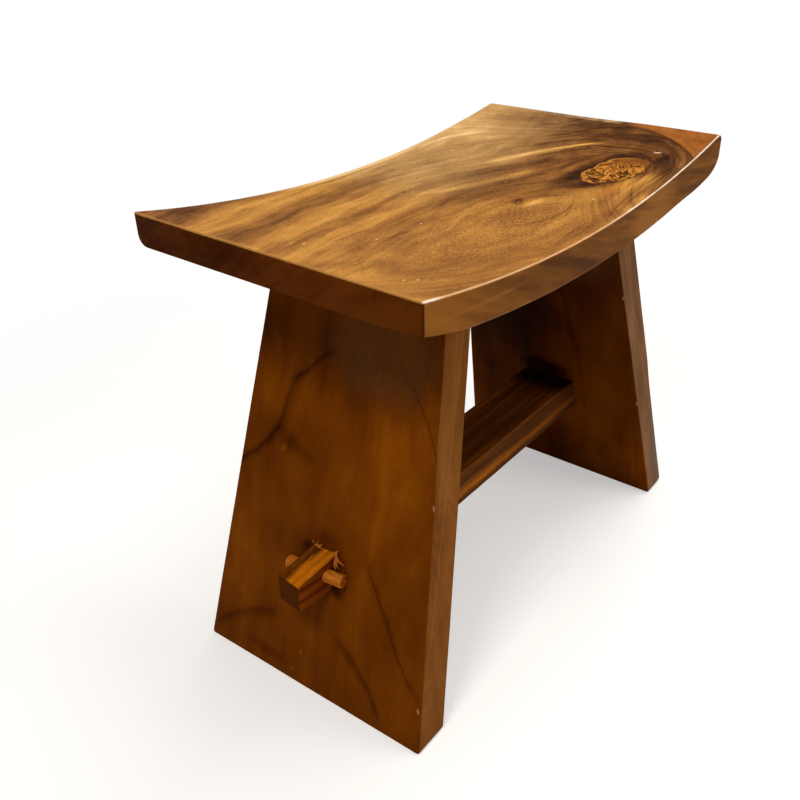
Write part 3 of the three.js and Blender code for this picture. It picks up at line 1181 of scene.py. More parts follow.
# %% Groups and shader
GLOSS_TINT = tone(255, 206, 140)
COAT_ROUGHNESS = 0.16


def make_group(name, inputs, outputs, build):
    """A node group with named number sockets; build(tree, wires) returns its outputs."""
    tree = bpy.data.node_groups.new(name, "ShaderNodeTree")
    for label, value in inputs.items():
        socket = tree.interface.new_socket(label, in_out="INPUT", socket_type="NodeSocketFloat")
        socket.default_value = value
    for label in outputs:
        tree.interface.new_socket(label, in_out="OUTPUT", socket_type="NodeSocketFloat")
    entry = tree.nodes.new("NodeGroupInput")
    leave = tree.nodes.new("NodeGroupOutput")
    wires = {label: Wire(tree, entry.outputs[label]) for label in inputs}
    for label, wire in build(tree, wires).items():
        tree.links.new(wire.socket, leave.inputs[label])
    return tree


def use_group(tree, group, values):
    node = tree.nodes.new("ShaderNodeGroup")
    node.node_tree = group
    for label, value in values.items():
        feed(tree, node.inputs[label], value)
    return {socket.name: Wire(tree, socket) for socket in node.outputs}


def bump(tree, height, distance, strength):
    node = tree.nodes.new("ShaderNodeBump")
    node.inputs["Strength"].default_value = strength
    node.inputs["Distance"].default_value = distance
    feed(tree, node.inputs["Height"], height)
    return Wire(tree, node.outputs[0])


def finish_material(material, color, roughness, normal, specular, coat=0.0):
    """Ends a tree with the one shader that every finish here uses."""
    tree = material.node_tree
    shader = tree.nodes.new("ShaderNodeBsdfPrincipled")
    feed(tree, shader.inputs["Base Color"], color)
    feed(tree, shader.inputs["Roughness"], roughness)
    feed(tree, shader.inputs["Normal"], normal)
    feed(tree, shader.inputs["Coat Weight"], coat)
    shader.inputs["Coat Roughness"].default_value = COAT_ROUGHNESS
    shader.inputs["Specular IOR Level"].default_value = specular
    shader.inputs["Specular Tint"].default_value = GLOSS_TINT
    output = tree.nodes.new("ShaderNodeOutputMaterial")
    tree.links.new(shader.outputs[0], output.inputs["Surface"])
    return material


def dress(piece, material):
    piece.data.materials.clear()
    piece.data.materials.append(material)


print("roughness of the coat:", COAT_ROUGHNESS)

# %% [markdown]
# ## Effects that the woods share
# Three effects come back in the woods. The grain is a noise that is stretched along the fibres,
# with fine dark pores in it; a Wave texture would be too even. A patch is a soft oval, and a stroke
# is a soft line that may bend: with them a knot, a stain or a dark streak can be put at its place,
# as with a brush.

# %% Grain, patch and stroke groups
PORE_LENGTH = 5.5
PORE_WIDTH = 0.42


def build_grain(tree, wires):
    along, across, depth = wires["Along"], wires["Across"], wires["Depth"]
    width, length = wires["Width"], wires["Length"]
    wide = width * 5
    broad = cloud(tree, vector(tree, along / length, across / wide, depth / wide), 2.0)
    fine = cloud(tree, vector(tree, along / (length * 0.5), across / width, depth / width), 3.0, 0.6)
    pore_place = vector(tree, along / PORE_LENGTH, across / PORE_WIDTH, depth / PORE_WIDTH)
    pore = cloud(tree, pore_place, 1.0)
    streaks = broad.swing(0.9) + fine.swing(0.8)
    pores = pore.rise(0.60, 0.72)
    return {"Streaks": streaks, "Pores": pores, "Height": streaks * 0.35 - pores}


def build_patch(tree, wires):
    """An oval that is full up to Core and fades out at 1; lengths are half its axes."""
    angle = wires["Turn"].math("RADIANS")
    right = wires["U"] - wires["Centre U"]
    up = wires["V"] - wires["Centre V"]
    cosine, sine = angle.math("COSINE"), angle.math("SINE")
    along = (right * cosine + up * sine) / wires["Length"]
    across = (up * cosine - right * sine) / wires["Width"]
    distance = (along.squared() + across.squared()).root()
    return {"Mask": distance.rise(1.0, wires["Core"]), "Distance": distance}


def build_stroke(tree, wires):
    """A line through a point that runs along U, with a slope and a bend in 1/1000 per mm."""
    run = wires["U"] - wires["At U"]
    line = wires["At V"] + run * wires["Slope"] + run.squared() * wires["Bend"] * 0.001
    off = (wires["V"] - line).size()
    ends = run.size().rise(wires["Reach"], wires["Reach"] * 0.55)
    return {"Mask": off.rise(wires["Width"], 0.0) * ends}


grain_group = make_group(
    "grain",
    {"Along": 0.0, "Across": 0.0, "Depth": 0.0, "Width": 2.0, "Length": 60.0},
    ["Streaks", "Pores", "Height"],
    build_grain,
)
patch_group = make_group(
    "patch",
    {
        "U": 0.0, "V": 0.0, "Centre U": 0.0, "Centre V": 0.0,
        "Length": 10.0, "Width": 10.0, "Turn": 0.0, "Core": 0.0,
    },
    ["Mask", "Distance"],
    build_patch,
)
stroke_group = make_group(
    "stroke",
    {
        "U": 0.0, "V": 0.0, "At U": 0.0, "At V": 0.0,
        "Slope": 0.0, "Bend": 0.0, "Reach": 50.0, "Width": 3.0,
    },
    ["Mask"],
    build_stroke,
)


def patch(u, v, centre, length, width, turn=0.0, core=0.0):
    values = {
        "U": u, "V": v, "Centre U": centre[0], "Centre V": centre[1],
        "Length": length, "Width": width, "Turn": turn, "Core": core,
    }
    return use_group(u.tree, patch_group, values)["Mask"]


def stroke(u, v, at, slope, bend, reach, width):
    values = {
        "U": u, "V": v, "At U": at[0], "At V": at[1],
        "Slope": slope, "Bend": bend, "Reach": reach, "Width": width,
    }
    return use_group(u.tree, stroke_group, values)["Mask"]


print("groups:", ", ".join(group.name for group in bpy.data.node_groups))

# %% [markdown]
# ## The seat's bands
# The top is the showpiece of the stool. Golden and brown bands come in along the board from the
# left end, sweep round a big knot near the right end and turn back along the front edge. On the
# real board these are the tree's growth layers, which had to grow round a branch. A ring texture
# can't bend like that. So the tree first works out a level for each point, as on a map of heights:
# it is the distance to a line that ends in the knot, squeezed where the bands are squeezed. The
# bands are then read off a ramp by level, and the grain follows them by itself.

# %% Seat bands
# The knot's place; it is a soft point of this radius.
KNOT_X, KNOT_Y = 140.0, -85.0
KNOT_SOFT = 12.0
# The highest level, and how dark the wood is at each level, from 0 to 1.
LEVELS = 270.0
BANDS = [
    (0, 0.40), (18, 0.45), (30, 0.39), (45, 0.45), (58, 0.43), (72, 0.49), (82, 0.56), (90, 0.60),
    (99, 0.52), (107, 0.42), (114, 0.29), (121, 0.28), (128, 0.44), (136, 0.56), (142, 0.50),
    (148, 0.36), (155, 0.24), (162, 0.25), (169, 0.38), (176, 0.52), (183, 0.62), (189, 0.66),
    (195, 0.58), (203, 0.46), (211, 0.34), (216, 0.20), (221, 0.38), (228, 0.28), (236, 0.26),
    (245, 0.38), (253, 0.56), (262, 0.66),
]
SEAT_TONES = [
    (0.00, tone(246, 197, 118)),
    (0.16, tone(224, 169, 90)),
    (0.36, tone(196, 139, 64)),
    (0.56, tone(152, 101, 48)),
    (0.76, tone(102, 61, 28)),
    (1.00, tone(50, 25, 9)),
]
# A greyer ramp, for the painted sheen on the far part of the top.
SHEEN_TONES = [
    (0.00, tone(240, 204, 150)),
    (0.16, tone(214, 173, 113)),
    (0.36, tone(183, 141, 88)),
    (0.56, tone(143, 105, 64)),
    (0.76, tone(98, 67, 37)),
    (1.00, tone(46, 29, 14)),
]
def seat_levels(tree, x, y, depth):
    """The level of each point of the seat, and how far along its band it lies."""
    up = y - KNOT_Y
    right = (x - KNOT_X).high(0.0) * (up.rise(60.0, 150.0) * 1.4 + 1.7)
    squeeze = x.rise(0.0, 115.0) * 1.4 + 1.1
    arm = up.high(up * squeeze * -1.0)
    reach = (right.squared() + arm.squared() + KNOT_SOFT**2).root()
    left_end = (x.low(0.0) / 260.0).squared()
    near_knot = x.rise(0.0, KNOT_X)
    bulge = ((reach - 136.0) / 76.0).squared() * -1.0 + 1.0
    level = reach * (left_end * 0.176 - near_knot * 0.355 + 1.0)
    level = level + left_end * 40.0 + near_knot * 81.0 + bulge.high(0.0) * near_knot * 12.0
    broad = cloud(tree, vector(tree, x / 110.0, y / 60.0, depth / 60.0), 1.0).swing(9.0)
    small = cloud(tree, vector(tree, x / 30.0, y / 16.0, depth / 16.0), 2.0).swing(4.0)
    slanted = vector(tree, x / 8.0 + y / 9.0, y / 3.5 - x / 14.0, depth / 6.0)
    feather = cloud(tree, slanted, 2.0).swing(3.0)
    level = level + depth * 0.9 + broad + small + feather
    turn = right.math("ARCTAN2", up) * 90.0
    return level, x.low(KNOT_X) + turn


print("stops in the ramp of bands:", len(BANDS))

# %% [markdown]
# ## Shades and lines on the top
# No rule gives every shade of a real board. Where it is darker or paler than its band, a soft patch
# changes the level's darkness, and a soft stroke draws each single line: a sheen, a scratch or a
# late dark layer. Painting a picture for it would work too, but these few numbers stay sharp at any
# size. The small knot is three patches.

# %% Shades and lines
# Soft shades on the top: centre, half length, half width, turn in degrees, core, amount.
SEAT_PATCHES = [
    ((74.0, 24.0), 74.0, 22.0, -32.0, 0.1, 0.18),
    ((8.0, 3.0), 62.0, 20.0, -10.0, 0.1, 0.12),
    ((30.0, 92.0), 64.0, 22.0, -6.0, 0.1, -0.18),
    ((225.0, 88.0), 42.0, 46.0, 0.0, 0.1, 0.13),
    ((128.0, -28.0), 38.0, 15.0, -25.0, 0.1, 0.18),
    ((-22.0, -60.0), 36.0, 18.0, 0.0, 0.1, 0.17),
    ((-170.0, -122.0), 60.0, 14.0, 0.0, 0.0, 0.08),
    ((-236.0, 38.0), 44.0, 66.0, 0.0, 0.0, 0.10),
    ((105.0, -131.0), 60.0, 10.0, 0.0, 0.2, 0.12),
    ((92.0, -21.0), 56.0, 9.0, -22.0, 0.1, 0.16),
    ((98.0, -54.0), 56.0, 15.0, -3.0, 0.3, 0.20),
    ((86.0, -73.0), 26.0, 13.0, -38.0, 0.2, 0.24),
    ((-88.0, -72.0), 52.0, 26.0, 0.0, 0.0, -0.16),
    ((-250.0, -85.0), 26.0, 46.0, 0.0, 0.0, -0.16),
    ((-175.0, -104.0), 62.0, 24.0, -8.0, 0.1, 0.12),
    ((-12.0, -108.0), 66.0, 13.0, 2.0, 0.1, -0.16),
    ((60.0, -96.0), 60.0, 18.0, 0.0, 0.1, -0.08),
    ((-240.0, 122.0), 60.0, 17.0, 22.0, 0.2, 0.16),
    ((20.0, -133.0), 130.0, 9.0, 0.0, 0.2, 0.13),
    ((176.0, -124.0), 50.0, 16.0, 12.0, 0.2, 0.20),
    ((16.0, -47.0), 14.0, 8.0, 18.0, 0.1, 0.42),
    ((15.0, -48.0), 5.0, 2.2, 18.0, 0.1, -0.30),
    ((22.0, -61.0), 22.0, 8.0, -6.0, 0.0, -0.44),
    ((172.0, 118.0), 24.0, 13.0, -50.0, 0.0, -0.14),
    ((-216.0, 4.0), 4.0, 1.6, 40.0, 0.3, -0.40),
    ((-224.0, 10.0), 3.0, 1.3, 40.0, 0.3, -0.40),
    ((-26.0, 55.0), 6.0, 1.8, 25.0, 0.2, 0.30),
    ((58.0, -7.0), 4.0, 1.5, 12.0, 0.2, -0.35),
    ((-213.0, -115.5), 4.0, 1.6, 35.0, 0.3, 0.20),
    ((-240.0, -114.0), 2.4, 1.2, 35.0, 0.3, 0.18),
    ((-147.0, -36.0), 42.0, 18.0, 14.0, 0.1, 0.10),
    ((-235.0, -32.0), 46.0, 20.0, 0.0, 0.1, -0.12),
    ((240.0, 35.0), 26.0, 22.0, 0.0, 0.1, -0.12),
    ((234.0, -22.0), 12.0, 20.0, 0.0, 0.1, -0.12),
    ((246.0, -64.0), 14.0, 18.0, 0.0, 0.1, -0.12),
    ((206.0, -34.0), 10.0, 16.0, 20.0, 0.1, 0.12),
    ((139.0, -23.0), 22.0, 10.0, -30.0, 0.1, 0.12),
    ((98.0, -68.0), 14.0, 12.0, 0.0, 0.1, -0.12),
    ((128.0, -6.0), 26.0, 11.0, -30.0, 0.1, 0.14),
    ((30.0, -16.0), 32.0, 12.0, -14.0, 0.1, 0.09),
    ((-60.0, -98.0), 200.0, 64.0, 0.0, 0.4, 0.06),
    ((184.0, -114.0), 20.0, 7.0, -8.0, 0.2, 0.16),
    ((30.0, -86.0), 50.0, 16.0, 0.0, 0.0, -0.05),
]
# Lines on the top: a point, slope, bend, half length, half width, amount.
SEAT_STROKES = [
    ((20.0, 133.0), 0.07, -0.5, 100.0, 6.0, -0.12),
    ((140.0, 130.0), -0.42, -9.0, 50.0, 7.0, -0.24),
    ((150.0, 12.0), -0.74, -4.0, 64.0, 12.0, -0.26),
    ((164.0, 2.0), -0.80, -4.5, 50.0, 5.0, -0.16),
    ((188.0, 4.0), -1.25, -12.0, 26.0, 6.0, 0.12),
    ((214.0, 40.0), -2.6, -20.0, 24.0, 7.0, -0.14),
    ((236.0, 20.0), -3.2, -30.0, 12.0, 10.0, 0.10),
    ((40.0, 12.0), -0.42, 1.0, 76.0, 11.0, -0.22),
    ((145.0, -40.0), -0.34, -6.0, 44.0, 7.0, 0.14),
    ((0.0, -96.5), -0.10, 5.5, 64.0, 3.0, 0.15),
    ((95.0, -127.0), 0.02, -1.6, 100.0, 2.2, 0.12),
    ((105.0, -133.0), 0.0, -1.4, 100.0, 1.8, 0.08),
    ((100.0, -130.0), 0.0, -1.4, 90.0, 1.6, -0.08),
    ((112.0, -119.0), -0.04, -1.0, 60.0, 3.4, -0.12),
    ((-110.0, -18.0), 0.22, -0.8, 60.0, 5.0, 0.09),
    ((-60.0, -8.0), 0.5, -3.0, 50.0, 5.0, 0.08),
    ((-70.0, -36.0), 0.35, 0.0, 34.0, 2.2, -0.12),
    ((-226.0, -62.0), 1.1, 8.0, 30.0, 4.0, 0.07),
    ((-120.0, 8.0), 0.16, -0.5, 90.0, 3.0, 0.10),
]


def seat_darkness(x, y, level, out):
    """How dark each point of the seat is, from 0 to 1, before its fine grain."""
    dark = (level / LEVELS).ramp([(place / LEVELS, grey) for place, grey in BANDS])
    slanted = y + x * 0.55
    by_knot = slanted.rise(-46.0, -32.0).high(x.rise(120.0, 150.0)) * x.rise(-40.0, 60.0)
    dark = lean_to(dark, y.rise(75.0, -5.0) * 0.42 + 0.27, by_knot * 0.66)
    dark = lean_to(dark, y.rise(142.0, -12.0) * 0.62 + 0.12, x.rise(125.0, 185.0) * 0.80)
    dark = dark + x.rise(195.0, 250.0) * y.rise(-130.0, -90.0) * 0.12
    plain = level.rise(112.0, 84.0) * x.rise(0.0, -90.0)
    dark = lean_to(dark, 0.45, plain * 0.7)
    dark = lean_to(dark, 0.42, patch(x, y, (80.0, -127.0), 100.0, 17.0, 0.0, 0.5) * 0.6)
    for centre, length, width, turn, core, amount in SEAT_PATCHES:
        dark = dark + patch(x, y, centre, length, width, turn, core) * amount
    for at, slope, bend, reach, width, amount in SEAT_STROKES:
        dark = dark + stroke(x, y, at, slope, bend, reach, width) * amount
    return dark + out.rise(1.7, 1.05) * (y.rise(-116.0, -88.0) * 0.22 + 0.06)


print("shades:", len(SEAT_PATCHES), "and lines:", len(SEAT_STROKES))

# %% [markdown]
# ## The big knot
# The knot is a gnarled burl: inside its outline the fibres curl, with dark hollows between them, and
# a dark rim runs round it. A second object set into the seat could be the knot, but the real one is
# as flat as the board. So it is one mask, how far out of the knot a point is, and a ramp of a
# twisted noise inside it.

# %% Big knot
BURL_X = 139.0
BURL_STRETCH = 1.42
BURL_TURN = 0.14
BURL_RADIUS = 26.0
BURL_CORNERS = 2.2


def big_knot(tree, x, y, depth):
    """How far out of the big knot a point is (1 on its outline), and its gnarled inside."""
    right = (x - BURL_X) / BURL_STRETCH
    up = y - KNOT_Y + (x - BURL_X) * BURL_TURN
    wobble = cloud(tree, vector(tree, x / 16.0, y / 16.0, depth / 14.0), 2.0).swing(8.0)
    angle = up.math("ARCTAN2", right)
    corners = (angle * 2.0 + 0.7).math("COSINE") * BURL_CORNERS + BURL_RADIUS
    out = ((right.squared() + up.squared()).root() + wobble) / corners
    fibre = cloud(tree, vector(tree, x / 21.0, y / 17.0, depth / 15.0), 2.0, 0.5, 1.0)
    return out, fibre


def burl_color(x, y, out, fibre):
    """The inside of the big knot: gnarled in the middle, smooth at its right, with a dark ring."""
    burl = fibre.ramp([
        (0.30, tone(58, 24, 4)), (0.38, tone(128, 70, 14)), (0.44, tone(210, 144, 56)),
        (0.475, tone(182, 114, 36)), (0.505, tone(64, 28, 5)), (0.54, tone(70, 31, 6)),
        (0.57, tone(178, 110, 34)), (0.64, tone(216, 152, 64)), (0.72, tone(84, 38, 6)),
    ])
    curl = cloud(x.tree, vector(x.tree, x / 11.0, y / 8.0, 3.0), 1.0, 0.5, 1.2)
    burl = mix(curl.rise(0.52, 0.62) * 0.5, burl, tone(92, 46, 12))
    burl = mix(x.rise(146.0, 168.0) * 0.8, burl, tone(120, 68, 22))
    ring_mask = out.rise(0.70, 0.77) * out.rise(0.85, 0.79) * x.rise(160.0, 120.0)
    burl = mix(ring_mask * 0.75, burl, tone(70, 34, 12))
    rim = out.rise(0.84, 0.92) * y.rise(-96.0, -70.0)
    return mix(rim * 0.6, burl, tone(188, 128, 56))


print(f"the knot is about {2 * BURL_RADIUS * BURL_STRETCH:.0f} mm by {2 * BURL_RADIUS:.0f} mm")

# %% [markdown]
# ## The top's colours
# The darkness turns into colour by a ramp from gold to brown. Towards the far corner a second,
# greyer ramp takes over: that is a painted sheen, where the satin top would reflect the room. In
# the near right corner the board still has orange sapwood, the young wood outside the heart, and a
# thin dark seam parts the two along an arc.

# %% Top colours
SEAT_CALM = 0.60
SAPWOOD_X, SAPWOOD_Y = 115.0, -31.5
SAPWOOD_RADIUS = 140.0
SAPWOOD_TONES = [(0.2, tone(174, 105, 44)), (0.8, tone(130, 73, 26))]


def top_color(x, y, depth, level, out, grain, curl):
    """The figured wood of the top; its strong bands are calmed a little on the left."""
    tree = x.tree
    curly = patch(x, y, (-60.0, -75.0), 190.0, 75.0, 0.0, 0.2)
    lined = x.rise(140.0, 185.0) * y.rise(60.0, 0.0)
    blots = cloud(tree, vector(tree, x / 40.0, y / 22.0, depth / 20.0), 3.0, 0.6).swing(0.20)
    dark = seat_darkness(x, y, level, out) + blots
    dark = lean_to(dark, SEAT_CALM, x.rise(150.0, 60.0) * 0.28)
    dark = dark + grain["Streaks"] * (lined * 0.16 + curly * -0.08 + 0.22) + grain["Pores"] * 0.12
    dark = dark + curl.swing(0.30) * (curly * 0.7 + 0.3)
    # Painted sheen: towards the far corner the top turns greyer, as if it reflected the room.
    sheen_share = x.rise(-90.0, 40.0) * y.rise(-40.0, 60.0) * 0.9
    color = mix(sheen_share, dark.ramp(SEAT_TONES), dark.ramp(SHEEN_TONES))
    warm = patch(x, y, (92.0, -107.0), 36.0, 10.0, -4.0)
    return mix(warm * 0.5, color, tone(196, 122, 44))


def add_sapwood(color, x, y, depth, grain, fibre):
    """The sapwood corner with its seam, and the rubbed place at the seat's right end."""
    below = y.low(SAPWOOD_Y) - SAPWOOD_Y
    outside = ((x - SAPWOOD_X).squared() + below.squared()).root() - SAPWOOD_RADIUS
    corner = x.rise(175.0, 190.0) * y.rise(-36.0, -56.0)
    sapwood = (grain["Streaks"] * 0.4 + fibre.swing(0.5) + 0.5).ramp(SAPWOOD_TONES)
    seam = outside.rise(-4.0, 0.0) * outside.rise(2.0, 0.5) * corner
    color = mix(seam * 0.5, color, tone(60, 32, 14))
    color = mix(outside.rise(0.0, 2.0) * corner, color, sapwood)
    rubbed = x.rise(254.0, 260.0) * y.rise(-40.0, -20.0) * (fibre.rise(0.42, 0.62) * 0.5 + 0.3)
    return mix(rubbed * depth.rise(2.5, 0.8), color, tone(206, 166, 118))


print("the sapwood's arc has a radius of", SAPWOOD_RADIUS, "mm")

# %% [markdown]
# ## The seat's sides
# The front side is brown with slanting bands, and the sawn left end is darker, because its end
# grain drinks the oil. Each could be a material of its own, but then a hard line would part them.
# Here they are masks by place in one material: how deep a point lies under the top, and how near it
# is to the front and to the left end.

# %% Sides of the seat
FRONT_Y = -SEAT_HALF_WIDTH * MM_PER_M
LEFT_X = -SEAT_HALF_LENGTH * MM_PER_M
END_TONES = [(0.2, tone(98, 48, 8)), (0.5, tone(78, 34, 3)), (0.85, tone(52, 17, 1))]
SIDE_TONES = [(0.2, tone(152, 97, 38)), (0.5, tone(117, 70, 22)), (0.8, tone(82, 43, 10))]


def depth_under_top(x, y, z):
    """How deep a point lies under the seat's curved top, in millimetres."""
    along = x / (SEAT_HALF_LENGTH * MM_PER_M)
    across = y / (SEAT_HALF_WIDTH * MM_PER_M)
    wind = along * across * (SEAT_WIND * MM_PER_M)
    middle = (SEAT_HEIGHT - SEAT_DIP) * MM_PER_M
    return x.squared() / (2 * SEAT_RADIUS * MM_PER_M) + middle - wind - z


def side_color(x, depth, grain, fibre):
    """The brown of the long sides, the nose and the underside."""
    tree = x.tree
    slant = x * 0.32 - depth
    bands = cloud(tree, vector(tree, x / 110.0, slant / 13.0, 4.0), 2.0, 0.55).swing(0.6)
    bands = bands - stroke(x, depth, (-190.0, 15.0), -0.05, 0.0, 75.0, 3.0) * 0.3 + 0.5
    bands = bands - patch(x, depth, (110.0, 18.0), 66.0, 34.0, 0.0, 0.2) * 0.36
    bands = bands + patch(x, depth, (-130.0, 8.0), 80.0, 22.0, 0.0) * 0.16
    bands = bands + patch(x, depth, (205.0, 10.0), 40.0, 16.0, 0.0) * 0.12
    side = (bands + grain["Pores"] * 0.15 + fibre.swing(0.12)).ramp(SIDE_TONES)
    side = mix(x.rise(-20.0, -240.0) * 0.4, side, tone(138, 84, 26))
    return mix(x.rise(-180.0, -255.0) * 0.5, side, tone(170, 106, 38))


def end_color(y, depth, fibre):
    """The dark end grain of the left end."""
    tree = y.tree
    bands = cloud(tree, vector(tree, (y * -0.6 + depth) / 13.0, y / 70.0, 7.0), 2.0, 0.6).swing(0.5)
    return (bands + y.rise(-60.0, 60.0) * 0.36 + 0.24 + fibre.swing(0.2)).ramp(END_TONES)


print(f"the front side lies at y {FRONT_Y:.0f} mm, the left end at x {LEFT_X:.1f} mm")

# %% [markdown]
# ## The seat's worn edges and painted highlights
# Where hands and cloth have rubbed, the edges are pale, and the top's front, left and back arrises
# also carry a painted highlight, brightest at the near corner. A Bevel or Pointiness node can find
# edges by itself, but it would pale them all alike. Only these few edges are masked, each with its
# own strength and colour, and with them a few chips and specks of dust.

# %% Worn edges
# How much thicker the seat is for each millimetre along it.
UNDER_SLANT = UNDER_SHIFT / SEAT_RADIUS
# Where pale chips lie: centre, half length, half width, turn, core.
TOP_CHIP = ((199.0, -104.0), 5.5, 2.2, -62.0, 0.4)
FRONT_NICK = ((117.0, 32.0), 1.2, 3.6, 12.0, 0.3)
# Specks of dust on the top.
DUST = [
    (-231.5, -104.7), (-222.0, -110.0), (-159.0, -20.5), (-94.0, -16.5), (60.0, -102.5), (113.0, 97.5),
]


def seat_edges(x, y, depth):
    """Masks for the front side and the left end, and for the edges round them."""
    below = depth.rise(0.9, 2.2)
    near_front = y - FRONT_Y
    near_left = x - LEFT_X
    return {
        "front": below * near_front.rise(2.0, 0.8),
        "left": below * near_left.rise(1.3, 0.5),
        "front_arris": depth.rise(1.5, 0.7) * near_front.rise(1.7, 0.8),
        "left_arris": depth.rise(2.0, 0.8) * near_left.rise(2.2, 0.8),
        "back_arris": depth.rise(2.0, 0.8) * y.rise(136.0, 140.0)
        * x.rise(-120.0, -40.0) * x.rise(160.0, 80.0),
        "upright": near_left.rise(2.2, 0.8) * near_front.rise(2.2, 0.8) * below,
    }


def add_edge_wear_and_highlights(color, x, y, depth, edges):
    """Pales the rubbed edges, paints highlights on the arrises and darkens the near upright edge."""
    tree = x.tree
    color = mix(edges["upright"] * 0.7, color, tone(58, 26, 8))
    # The front arris is partly worn and partly a painted highlight, whitest near the corner.
    wear_and_gleam = cloud(tree, vector(tree, x / 26.0, 2.0, 2.0), 2.0).rise(0.30, 0.55) * 0.35 + 0.60
    bright_gleam = x.rise(-236.0, -252.0).high(x.rise(0.0, 60.0))
    gleam = mix(bright_gleam, tone(246, 192, 140), tone(255, 236, 214))
    near = x.rise(-236.0, -252.0) * 0.6
    amount = edges["front_arris"] * wear_and_gleam * (bright_gleam * 0.15 + near + 0.85)
    color = mix(amount.low(1.0), color, gleam)
    along = x.rise(-255.0, -200.0) * x.rise(80.0, -40.0)
    low_arris = (depth - x * UNDER_SLANT).rise(31.7, 32.7) * edges["front"] * along
    color = mix(low_arris * 0.35, color, tone(156, 128, 94))
    color = mix(patch(x, depth, *FRONT_NICK) * edges["front"] * 0.7, color, tone(206, 156, 108))
    # The left arris: a painted highlight.
    color = mix(edges["left_arris"] * 0.55, color, tone(214, 150, 78))
    # The back arris: a painted reflection, a thin pale line.
    color = mix(edges["back_arris"] * 0.75, color, tone(248, 208, 146))
    for centre in DUST:
        speck = patch(x, y, centre, 1.7, 1.2, 30.0, 0.4) * depth.rise(3.0, 1.0)
        color = mix(speck * 0.75, color, tone(252, 226, 166))
    return color


print("specks of dust:", len(DUST))

# %% [markdown]
# ## Seat wood
# Now the parts come together: top, sapwood, knot, sides and edges, each laid over the one before by
# its mask, as coats of paint are. One material is used for the whole seat, so that the figure runs
# through the board. Its gloss is low, and only the rubbed arrises have a coat.

# %% Seat wood
SEAT_SPECULAR = 0.025


def seat_material():
    material = new_material("seat_wood")
    tree = material.node_tree
    x, y, z = place_in_mm(tree)
    depth = depth_under_top(x, y, z)
    level, along = seat_levels(tree, x, y, depth)
    out, fibre = big_knot(tree, x, y, depth)
    places = {"Along": along, "Across": level, "Width": 1.5, "Length": 80.0}
    grain = use_group(tree, grain_group, places)
    slanted = vector(tree, x / 5.0 + y / 9.0, y / 2.2 - x / 8.0, depth / 3.0)
    curl = cloud(tree, slanted, 2.0, 0.6)

    color = top_color(x, y, depth, level, out, grain, curl)
    color = add_sapwood(color, x, y, depth, grain, fibre)
    inside = out.rise(1.04, 0.97)
    color = mix(out.rise(1.26, 1.02) * 0.66, color, tone(66, 31, 14))
    color = mix(inside, color, burl_color(x, y, out, fibre))
    color = mix(patch(x, y, *TOP_CHIP), color, tone(222, 178, 150))

    edges = seat_edges(x, y, depth)
    deep = edges["front"].high(depth.rise(2.0, 5.0))
    color = mix(deep, color, side_color(x, depth, grain, fibre))
    color = mix(edges["left"], color, end_color(y, depth, fibre))
    color = add_edge_wear_and_highlights(color, x, y, depth, edges)

    normal = bump(tree, grain["Height"] + fibre * inside * 1.5, distance=0.0003, strength=0.35)
    roughness = grain["Streaks"] * 0.08 + curl.swing(0.06) + 0.40
    coat = edges["front_arris"] + edges["left_arris"] * 0.4
    return finish_material(material, color, roughness, normal, SEAT_SPECULAR, coat)


seat_wood = seat_material()
dress(seat, seat_wood)
print("nodes in the seat's wood:", len(seat_wood.node_tree.nodes))

# %% [markdown]
# ## The legs' shades and lines
# The legs are the same wood, but oiled darker and redder. The outer face of the left leg is the
# one that shows: it has a lighter field in its middle, a dark line that crosses its back edge,
# arcs at the foot and a curly patch under the seat. Rings cut through a solid texture would give
# arcs too, but not these. So they are tables of soft shades and lines again, one for each leg.
# Some of these shades are painted light: shadow by the left leg's peg and tenon, shade on the right
# leg under the seat and by the stretcher, and a sheen on the curly patch.

# %% Leg shades and lines
LEG_TONES = [
    (0.00, tone(158, 86, 10)),
    (0.30, tone(124, 62, 3)),
    (0.55, tone(98, 46, 1)),
    (0.78, tone(68, 28, 1)),
    (1.00, tone(40, 14, 1)),
]
# The narrow front sides are paler, and the right leg's are greyer than the left leg's: that grey is a
# painted sheen.
LEG_SIDE_TONES = {
    "left": [(0.2, tone(150, 94, 40)), (0.5, tone(130, 78, 30)), (0.8, tone(100, 56, 20))],
    "right": [(0.2, tone(150, 107, 72)), (0.5, tone(127, 88, 56)), (0.8, tone(98, 66, 40))],
}
